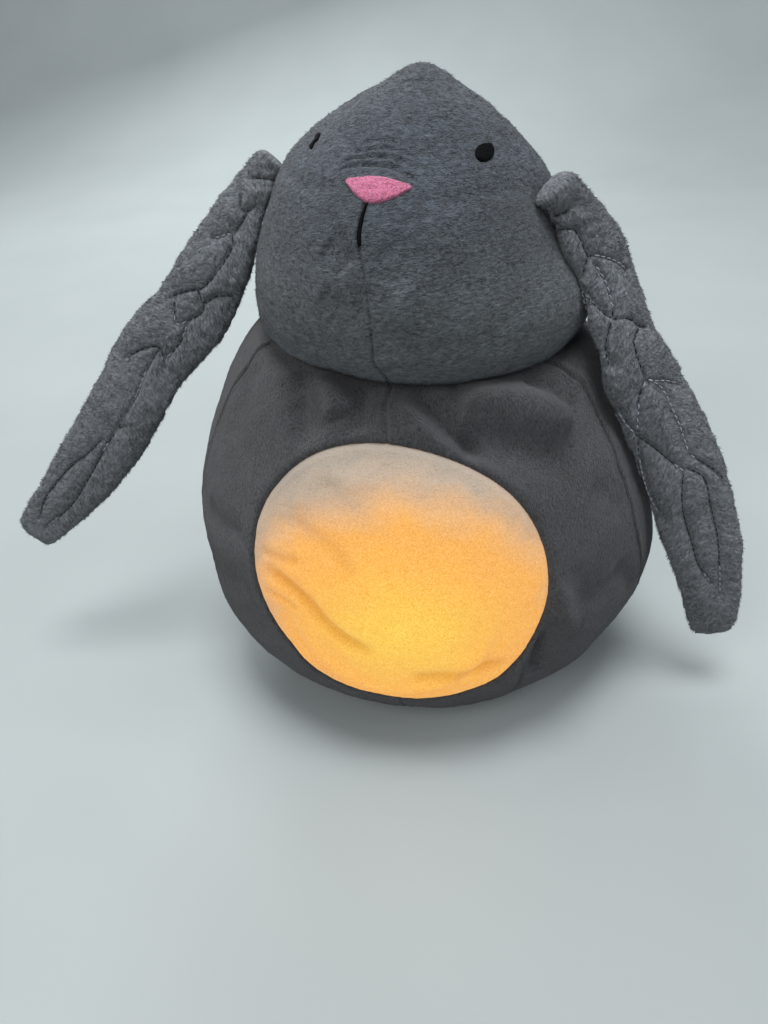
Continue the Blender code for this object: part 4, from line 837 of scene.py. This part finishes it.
def make_body_cover():
    angle, share, points, normals = cover_grid(body_point, BODY_SEAMS, BODY_COLUMNS, BODY_ROWS,
                                               GAP / BODY_HEIGHT)
    height = layered_noise(points, CLOTH_LUMPS) + bulged(angle, share, BODY_BULGES)
    height = height + seamed(body_point, points, BODY_SEAMS, BODY_SEAM_DEPTH / 2, BODY_SEAM_DEPTH,
                             BODY_SEAM_WIDTH)
    height = height + pressed(points, surface_line(body_point, BODY_DART), BODY_SEAM_DEPTH, BODY_SEAM_WIDTH)
    measure = inside_patch(angle, share)
    height = height + folded(body_point, points, BODY_FOLDS) * ease((measure - 1) / 0.1)
    height = height + PATCH_WELT * bell(measure - 1.04, 0.03) - PATCH_HOLLOW * ease((1.004 - measure) / 0.03)
    height = height - BODY_NECK_TUCK * bell((1 - share) * BODY_HEIGHT, NECK_TUCK_WIDTH)
    height = height * ease(0.35 + share * BODY_HEIGHT / 0.004)
    shaped = points + normals * height[..., None]
    shaped[..., 2] = np.maximum(shaped[..., 2], GAP / 2)
    top = body_point(angle[-1], 1)
    rings = np.concatenate([drawn_in(body_point(angle[0], 0), 0, BODY_HEMS), shaped,
                            drawn_in(top, top.mean(0), BODY_TUCKS)])
    cover = mesh_object("body_cover", rings, tube_faces(*rings.shape[:2], bottom=False), body_plush)
    piece(cover, "toy", "body_plush", "body_front_left_panel", "body_front_right_panel",
          "body_back_left_panel", "body_back_right_panel", "body_stuffing")
    bare = (measure < 1.005) | (share < 0.02) | (share > 0.985)
    tufts = grow_pile("body_pile_tufts", points_on(shaped, normals, ~bare, BODY_TUFTS, 11), comb_down,
                      BODY_TUFT, body_plush)
    piece(tufts, "toy", "body_plush")


def make_patch():
    """The patch lies in its hollow, its edge drawn in, with the lamp's rim showing through as a low ring."""
    disc_x, disc_z = disc(*square_grid(PATCH_CELLS))
    stretch = slanted(disc_x, disc_z)
    share = (PATCH_CENTRE_HEIGHT + disc_z * stretch * PATCH_HALF_HEIGHT) / BODY_HEIGHT
    angle = np.degrees(np.arcsin((disc_x * stretch * PATCH_HALF_WIDTH + PATCH_SHIFT) / body_radius(share)))
    points = body_point(angle, share)
    normals = normals_of(body_point, angle, share)
    creases = folded(body_point, points, PATCH_FOLDS)
    from_lamp = np.hypot(points[..., 0], points[..., 2] - LAMP_CENTRE_HEIGHT)
    low = ease((LAMP_CENTRE_HEIGHT - points[..., 2]) / 0.03 + 0.25)
    rim = bell(from_lamp - LAMP_RADIUS * 0.97, LAMP_RIM_WIDTH)
    rim = rim - 0.8 * bell(from_lamp - LAMP_RADIUS * 1.09, LAMP_RIM_WIDTH * 0.7)
    height = PATCH_RISE + 0.7 * layered_noise(points, CLOTH_LUMPS) + creases + LAMP_RIM_RISE * low * rim
    height = height - PATCH_EDGE_DROP * ease((np.hypot(disc_x, disc_z) - 0.94) / 0.06) ** 2
    front = points + normals * height[..., None]
    back = points + normals * (np.minimum(height, 0) - FABRIC * 0.6)[..., None]
    cloth = sheet("belly_patch_cloth", front, back, patch_plush)
    # The folds' depths, which the patch's material turns into painted shade in the creases
    crease = cloth.data.attributes.new("crease", "FLOAT", "POINT")
    crease.data.foreach_set("value", np.tile(creases.ravel() * 1000, 2).astype(np.float32))
    piece(cloth, "toy", "patch_plush", "belly_patch")


def make_base_cloth():
    """The flat bottom cloth, cut out round the battery box and its switch."""
    rim = body_point(np.arange(BASE_COLUMNS) * 360 / BASE_COLUMNS, 0)
    rings = drawn_in(rim, 0, BASE_RINGS)
    cloth = mesh_object("base_cloth", rings, tube_faces(*rings.shape[:2]), body_plush)
    low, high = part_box("battery_box")
    windows = (("bay", -BAY_HALF_LENGTH, BAY_HALF_LENGTH, low[1] + FLANGE_WIDTH, high[1] - FLANGE_WIDTH),
               ("switch", low[0] + FLANGE_WIDTH, SWITCH_RECESS - BAY_HALF_LENGTH, SWITCH_FRONT, SWITCH_BACK))
    for name, left, right, front, back in windows:
        corners = [(x, y, z) for z in (-0.01, 0.01) for y in (front - WINDOW_MARGIN, back + WINDOW_MARGIN)
                   for x in (left - WINDOW_MARGIN, right + WINDOW_MARGIN)]
        sides = [(0, 2, 3, 1), (4, 5, 7, 6), (0, 1, 5, 4), (1, 3, 7, 5), (3, 2, 6, 7), (2, 0, 4, 6)]
        cutter = mesh_object("cut_" + name, corners, sides, body_plush, False)
        modifier = cloth.modifiers.new(name, "BOOLEAN")
        modifier.operation = "DIFFERENCE"
        modifier.object = cutter
        modifier.solver = "EXACT"
        settle(cloth)
        bpy.data.objects.remove(cutter)
    piece(cloth, "toy", "body_plush", "body_base_panel")


def settle(item):
    """Applies an object's modifiers."""
    graph = bpy.context.evaluated_depsgraph_get()
    mesh = bpy.data.meshes.new_from_object(item.evaluated_get(graph))
    item.modifiers.clear()
    item.data = mesh


# Head and face

def head_relief(points, share):
    """How far the head's cover stands off the plain form, seams left out."""
    nose = head_point(0, NOSE_HEIGHT / HEAD_HEIGHT)
    height = 0.8 * layered_noise(points, CLOTH_LUMPS) + folded(head_point, points, HEAD_FOLDS)
    height = height + NOSE_MOUND * bell(np.linalg.norm(points - nose, axis=-1), NOSE_MOUND_SPREAD)
    return height - HEAD_NECK_TUCK * bell(share * HEAD_HEIGHT, NECK_TUCK_WIDTH)


def make_head_cover():
    angle, share, points, normals = cover_grid(head_point, HEAD_SEAMS, HEAD_COLUMNS, HEAD_ROWS, 0.003)
    height = head_relief(points, share) + bulged(angle, share, HEAD_BULGES)
    height = height + seamed(head_point, points, HEAD_SEAMS, HEAD_SEAM_DEPTH, HEAD_SEAM_DEPTH / 2,
                             HEAD_SEAM_WIDTH)
    for root in (LEFT_EAR_ROOT, RIGHT_EAR_ROOT):
        height = height - EAR_ROOT_DIMPLE * bell(np.linalg.norm(points - np.array(root), axis=-1), 0.009)
    height = height * ease((1 - share) / 0.03 + 0.2)
    height = height + PEAK_RISE * bell((1 - share) * HEAD_HEIGHT, PEAK_SPREAD)
    chin = np.maximum(np.cos(np.radians(angle)), 0) * bell(share - CHIN_SHARE, CHIN_SPREAD)
    shaped = points + normals * height[..., None] + chin[..., None] * np.array(CHIN_DROP)
    bottom = head_point(angle[0], 0)
    rings = np.concatenate([drawn_in(bottom, bottom.mean(0), HEAD_TUCKS), shaped])
    cover = mesh_object("head_cover", rings, tube_faces(*rings.shape[:2]), head_plush)
    piece(cover, "toy", "head_plush", "head_forehead_panel", "head_left_cheek_panel",
          "head_right_cheek_panel", "head_back_left_panel", "head_back_right_panel", "head_stuffing")
    bare = share < 0.03
    eye_clear = EYE_HALF_WIDTH * 1.3
    for x, z, clear in ((0, NOSE_HEIGHT, NOSE_HALF_WIDTH * 0.9), (-EYE_SPREAD, EYE_HEIGHT, eye_clear),
                        (EYE_SPREAD, EYE_HEIGHT, eye_clear)):
        bare = bare | (np.linalg.norm(points - head_point(*face_spot(x, z)), axis=-1) < clear)
    tufts = grow_pile("head_pile_tufts", points_on(shaped, normals, ~bare, HEAD_TUFTS, 12), comb_down,
                      HEAD_TUFT, head_plush)
    piece(tufts, "toy", "head_plush")


def face_spot(x, z):
    share = z / HEAD_HEIGHT
    return np.degrees(np.arcsin(x / head_radius(share))), share


def raised(name, x, z, outline, rise, cells, roughness, finish, slot, node):
    """An embroidered shape on the head: a low mound with loops of thread, closed behind."""
    sideways, upward = square_grid(cells)
    across, along = outline(sideways, upward)
    angle, share = face_spot(x + across, z + along)
    points = head_point(angle, share)
    normals = normals_of(head_point, angle, share)
    dome = np.sqrt(np.clip(1 - np.maximum(abs(sideways), abs(upward)) ** 6, 0, 1))
    loops = roughness * layered_noise(points, THREAD_LUMPS)
    cover = head_relief(points, share)
    front = points + normals * (cover + (rise + loops) * dome)[..., None]
    back = points + normals * (cover - THREAD_SINK)[..., None]
    piece(sheet(name, front, back, finish), "toy", slot, node)


def nose_outline(sideways, upward):
    """A gently arched top and a deeper curve below, meeting in a corner at each side."""
    arch = 1 - np.abs(sideways) ** 1.7
    top = mix(0.5, 1, arch)
    bottom = mix(0.42, -1, arch)
    return sideways * NOSE_HALF_WIDTH, mix(bottom, top, (upward + 1) / 2) * NOSE_HALF_HEIGHT


def eye_outline(sideways, upward):
    x, z = disc(sideways, upward)
    return x * EYE_HALF_WIDTH + EYE_LEAN * z * EYE_SHOWN_HALF_HEIGHT, z * EYE_SHOWN_HALF_HEIGHT


def mouth_outline(sideways, upward):
    """A narrow slit, thin at the nose and widest near its lower end."""
    width = MOUTH_HALF_WIDTH * np.clip(1.02 - upward ** 6, 0, 1) ** 0.5 * (0.85 - 0.3 * upward)
    bow = -0.0009 * (1 - upward ** 2)
    return sideways * width + bow, upward * MOUTH_LENGTH / 2


def slit_outline(sideways, upward):
    """An eye that is nearly shut between two tufts of pile."""
    width = SLIT_HALF_WIDTH * np.clip(1.02 - upward ** 4, 0, 1) ** 0.5 * (1 + 0.35 * np.sin(5 * upward))
    return sideways * width + 0.0007 * upward, upward * EYE_HALF_HEIGHT * 0.8


def make_face():
    raised("nose_embroidery", 0, NOSE_HEIGHT, nose_outline, 0.0013, 60, 0.00022, pink_thread,
           "pink_thread", "nose")
    mouth_height = NOSE_HEIGHT - NOSE_HALF_HEIGHT - MOUTH_LENGTH / 2 + GAP
    raised("mouth_stitching", -0.0010, mouth_height, mouth_outline, 0.0009, 24, 0.00008, black_thread,
           "black_thread", "mouth_line")
    raised("left_eye_stitching", SLIT_SHIFT[0] - EYE_SPREAD, SLIT_SHIFT[1] + EYE_HEIGHT, slit_outline,
           0.0007, 28, 0.00012, black_thread, "black_thread", "left_eye")
    raised("right_eye_stitching", EYE_SPREAD, EYE_HEIGHT, eye_outline, 0.0009, 28, 0.00015, black_thread,
           "black_thread", "right_eye")


# Ears

class Ear:
    """One ear's centre line, facing and sections. The lines are the same as the solids'."""

    def __init__(self, side, line, twist, pivot):
        self.side = side
        self.twist = twist
        self.pivot = np.array(pivot)
        self.root_way = np.array([side * 0.65, 0.7, -0.1])
        samples = smooth_points(line, 20)
        reach = reach_along(samples)
        self.reach = reach / reach[-1]
        self.samples = samples * EAR_LENGTH / reach[-1]

    def centre(self, t):
        out, forward, down = (np.interp(t, self.reach, self.samples[:, axis]) for axis in range(3))
        return self.pivot + np.stack([self.side * out, -forward, -down], -1)

    def frames(self, t):
        """The ways across the ear, out of its face and along it."""
        along = unit(self.centre(np.clip(t + 0.012, 0, 1)) - self.centre(np.clip(t - 0.012, 0, 1)))
        turn = np.radians(read_curve(self.twist, t)) * self.side
        face = np.stack([np.sin(turn), -np.cos(turn), np.zeros_like(turn)], -1)
        face = unit(face - along * (face * along).sum(-1, keepdims=True))
        return np.cross(face, along), face, along

    def points(self, t, turn):
        """Surface points at shares t of the length and angles turn round the section."""
        t, turn = np.broadcast_arrays(np.asarray(t, float), np.asarray(turn, float))
        inside = np.clip(t, 0, 1)
        across, face, along = self.frames(inside)
        before = np.minimum(t, 0) * EAR_LENGTH
        rounded = np.sqrt(np.clip(1 - (before / EAR_ROOT_REACH) ** 4, 0, 1))
        width = EAR_HALF_WIDTH * read_curve(EAR_WIDTH_SHARES, inside) * rounded
        thickness = EAR_HALF_THICKNESS * read_curve(EAR_THICKNESS_SHARES, inside) * rounded
        middle = self.centre(inside) + mix(along, self.root_way, 0.6) * before[..., None]
        radial_x = width * np.cos(turn)
        radial_y = thickness * np.sign(np.sin(turn)) * np.abs(np.sin(turn)) ** 0.85
        return middle + across * radial_x[..., None] + face * radial_y[..., None]

    def nearest(self, spots):
        """Shares of the length nearest to spots."""
        t = np.linspace(0, 1, 300)
        centres = self.centre(t)
        parts = np.array_split(spots, len(spots) // 8000 + 1)
        return np.concatenate([t[((part[:, None] - centres) ** 2).sum(-1).argmin(1)] for part in parts])

    def front(self, line, side):
        """Places on the face for thousandths of the length and hundredths of the half width."""
        line = smooth_points(line)
        return self.points(line[:, 0] / 1000, side * np.arccos(np.clip(line[:, 1] / 100, -1, 1)))

    def comb_out(self, spots, normals):
        """The pile lies along the ear and away from its middle."""
        near = self.nearest(spots)
        across, face, along = self.frames(near)
        outward = np.sign(((spots - self.centre(near)) * across).sum(-1, keepdims=True))
        wander = 0.6 * lattice_noise(spots, 0.007, 23)[:, None]
        return along + across * (0.55 * outward + wander)

    def lay(self, spots):
        """Lengths across and along the herringbone in which the pile is combed."""
        spots = spots.reshape(-1, 3)
        nearest = self.nearest(spots)
        across, face, along = self.frames(nearest)
        offset = spots - self.centre(nearest)
        sideways = np.abs((offset * across).sum(-1))
        return np.stack([sideways + 0.35 * nearest * EAR_LENGTH, nearest * EAR_LENGTH - 0.7 * sideways,
                         (offset * face).sum(-1) + 0.02 * self.side], -1)

    def out(self, spot):
        """The direction out of the ear's nearer face at a spot."""
        t = np.linspace(0, 1, 120)
        nearest = t[np.linalg.norm(self.centre(t) - spot, axis=1).argmin()]
        across, face, along = self.frames(np.array(nearest))
        return face * (1 if (spot - self.centre(nearest)) @ face > 0 else -1)


def make_ear(word, side, line, twist, pivot, quilting):
    ear = Ear(side, line, twist, pivot)
    body = word + "_ear"
    root = EAR_ROOT_REACH / EAR_LENGTH
    rounding = -root * np.cos(np.linspace(0.12, 1.45, 9))
    stations = np.concatenate([rounding, np.linspace(0, 0.985, EAR_ROWS - 14), [0.99, 0.994, 0.998, 1.0]])
    turns = np.arange(EAR_COLUMNS) * math.tau / EAR_COLUMNS
    t, turn = np.meshgrid(stations, turns, indexing="ij")
    points = ear.points(t, turn)
    next_turn = ear.points(t, turn + 0.02) - ear.points(t, turn - 0.02)
    step = 0.002
    last_row = ear.points(np.clip(t - step, -root * 0.99, 1), turn)
    next_row = ear.points(np.clip(t + step, -root, 1), turn) - last_row
    normals = np.cross(next_turn, next_row)
    outward = (normals * (points - ear.centre(np.clip(t, 0, 1)))).sum(-1, keepdims=True)
    normals = unit(normals * np.where(outward < 0, -1, 1))
    press = np.zeros_like(t)
    for stitch_line in quilting:
        for face in (1, -1):
            distance = near_line(points, ear.front(stitch_line, face))[0]
            press = np.maximum(press, QUILT_VALLEY * bell(distance, QUILT_VALLEY_WIDTH)
                               + QUILT_GROOVE * bell(distance, QUILT_GROOVE_WIDTH))
    height = layered_noise(points, EAR_LUMPS) - press - EAR_PILE / 2
    height = height + QUILT_VALLEY * 0.5 * np.abs(np.sin(turn)) ** 0.5
    height = height * ease((t + root) / (root * 2) + 0.2)
    shaped = points + normals * height[..., None]
    cover = mesh_object(body + "_cover", shaped, tube_faces(*t.shape), ear_plush)
    face_out(cover)
    lay_coordinates(cover, ear.lay(shaped))
    piece(cover, body, "ear_plush", body + "_front_panel", body + "_back_panel", body + "_wadding")
    for tone, finish in (("dark", dark_thread), ("glint", glint_thread)):
        make_stitches(body, ear, quilting, tone, finish)
    wanted = press < QUILT_VALLEY + QUILT_GROOVE / 2
    tufts = grow_pile(body + "_pile_tufts", points_on(shaped, normals, wanted, EAR_TUFTS, 13 + side),
                      ear.comb_out, EAR_TUFT, ear_plush)
    lay_coordinates(tufts, ear.lay(np.array([vert.co for vert in tufts.data.vertices])))
    piece(tufts, body, "ear_plush")


def face_out(item):
    """Turns all faces out if the closed mesh is inside out."""
    shape = bmesh.new()
    shape.from_mesh(item.data)
    if shape.calc_volume(signed=True) < 0:
        bmesh.ops.reverse_faces(shape, faces=shape.faces)
    shape.to_mesh(item.data)
    shape.free()


def make_stitches(body, ear, quilting, tone, finish):
    """Short thread stitches in the quilting lines, either the dark ones or the few painted pale as glints
    where the thread catches the light.
    """
    verts = []
    faces = []
    for line, face in itertools.product(quilting, (1, -1)):
        route = ear.front(line, face)
        lengths = reach_along(route)
        for start in np.arange(STITCH_PITCH / 2, lengths[-1] - STITCH_LENGTH, STITCH_PITCH):
            first, last = (np.array([np.interp(spot, lengths, route[:, axis]) for axis in range(3)])
                           for spot in (start, start + STITCH_LENGTH))
            # Painted glints: the stitches picked here get the pale thread
            catches_light = lattice_noise(first, GLINT_STITCH_CELL, 31) > 0.25
            if catches_light == (tone == "glint"):
                add_stitch(verts, faces, first, last - first, ear.out((first + last) / 2), tone)
    piece(mesh_object(f"{body}_{tone}_stitches", verts, faces, finish), body, "black_thread")


def add_stitch(verts, faces, start, along, out, tone):
    """One thread stitch: a thin arched capsule, sunk in its groove at both ends."""
    side = unit(np.cross(along, out))
    base = len(verts)
    for share in np.linspace(0, 1, STITCH_RINGS):
        thick = STITCH_RADIUS[tone] * (0.35 + 0.65 * math.sin(math.pi * min(max(share, 0.08), 0.92)) ** 0.4)
        middle = start + along * share + out * (STITCH_ARCH * math.sin(math.pi * share) - STITCH_SINK[tone])
        for angle in np.arange(STITCH_SIDES) * math.tau / STITCH_SIDES:
            verts.append(middle + side * thick * math.cos(angle) + out * thick * math.sin(angle))
    faces += [[base + index for index in face[::-1]] for face in tube_faces(STITCH_RINGS, STITCH_SIDES)]


# Hard pieces that stay as packed, with finished materials

def numbered(name, count):
    return [f"{name}_{number}" for number in range(1, count + 1)]


def finish_hard_parts():
    for material, names in (
            (plastic("white_moulding", (0.74, 0.73, 0.70), 0.42), ["lamp_housing", "lamp_ring"]),
            (plastic("frosted_moulding", (0.82, 0.72, 0.56), 0.55), ["diffuser_dome"]),
            (plastic("black_moulding", (0.022, 0.022, 0.024), 0.42, 0.00006),
             ["battery_box", "battery_door", "power_slider"]),
            (plastic("solder_mask", (0.02, 0.13, 0.05), 0.35), ["led_board"]),
            (plastic("led_resin", (0.85, 0.55, 0.20), 0.12), numbered("led", 4)),
            (plastic("cell_sleeve", (0.05, 0.16, 0.07), 0.3), numbered("battery_cell", 3)),
            (plastic("resistor_lacquer", (0.50, 0.36, 0.20), 0.45), ["led_resistor"]),
            (plastic("red_insulation", (0.45, 0.015, 0.015), 0.45), ["red_lead"]),
            (plastic("black_insulation", (0.012, 0.012, 0.012), 0.45), ["black_lead"]),
            (metal("zinc_steel", (0.55, 0.55, 0.57), 0.35),
             numbered("board_screw", 3) + ["door_screw", "switch_body"]),
            (metal("nickel_plate", (0.62, 0.60, 0.54), 0.28),
             numbered("contact_spring", 3) + ["contact_negative", "contact_positive", "contact_bridge_left",
                                              "contact_bridge_right"])):
        for name in names:
            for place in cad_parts[name].material_slots:
                place.material = material


# Studio

def make_studio():
    scene = bpy.context.scene
    scene.view_settings.view_transform = "Standard"
    look = Look("studio_floor", 0.85, specular=0.2)
    tone = look.noise(look.place(), 6)
    floor_material = look.finish(look.ramp(tone, [(0.3, (0.36, 0.39, 0.385)), (0.7, (0.385, 0.415, 0.41))]))
    profile = [(FLOOR_FRONT, 0.0), (FLOOR_BACK, 0.0)]
    for step in range(1, BEND_STEPS + 1):
        angle = math.radians(90 * step / BEND_STEPS)
        out = BEND_RADIUS * math.sin(angle)
        profile.append((FLOOR_BACK + out, BEND_RADIUS - BEND_RADIUS * math.cos(angle)))
    profile.append((FLOOR_BACK + BEND_RADIUS, WALL_HEIGHT))
    verts = [(side * FLOOR_WIDTH / 2, y, z) for y, z in profile for side in (-1, 1)]
    mesh_object("studio_floor", verts, grid_faces(len(profile), 2, False), floor_material)
    scene.world = bpy.data.worlds.new("studio")
    scene.world.use_nodes = True
    background = scene.world.node_tree.nodes["Background"]
    background.inputs["Color"].default_value = (0.80, 0.88, 1.0, 1)
    background.inputs["Strength"].default_value = 0.33
    for name, spot, aim, width, power, colour in LIGHTS:
        lamp = bpy.data.lights.new(name, "AREA")
        lamp.shape = "DISK"
        lamp.size = width
        lamp.energy = power
        lamp.color = colour
        item = bpy.data.objects.new(name, lamp)
        item.location = spot
        item.rotation_euler = (Vector(aim) - Vector(spot)).to_track_quat("-Z", "Y").to_euler()
        scene.collection.objects.link(item)
    camera = bpy.data.objects.new("camera", bpy.data.cameras.new("camera"))
    right = Vector(CAMERA_RIGHT).normalized()
    back = right.cross(Vector(CAMERA_UP)).normalized()
    turn = Matrix((right, back.cross(right), back)).transposed().to_4x4()
    camera.matrix_world = Matrix.Translation(CAMERA_PLACE) @ turn
    camera.data.sensor_fit = "AUTO"
    camera.data.sensor_width = CAMERA_SENSOR
    camera.data.lens = CAMERA_LENS
    camera.data.clip_start = 0.01
    scene.collection.objects.link(camera)
    scene.camera = camera


make_studio()
make_body_cover()
make_patch()
make_base_cloth()
make_head_cover()
make_face()
make_ear("left", -1, LEFT_EAR_LINE, LEFT_EAR_TWIST, LEFT_EAR_ROOT, LEFT_QUILTING)
make_ear("right", 1, RIGHT_EAR_LINE, RIGHT_EAR_TWIST, RIGHT_EAR_ROOT, RIGHT_QUILTING)
finish_hard_parts()
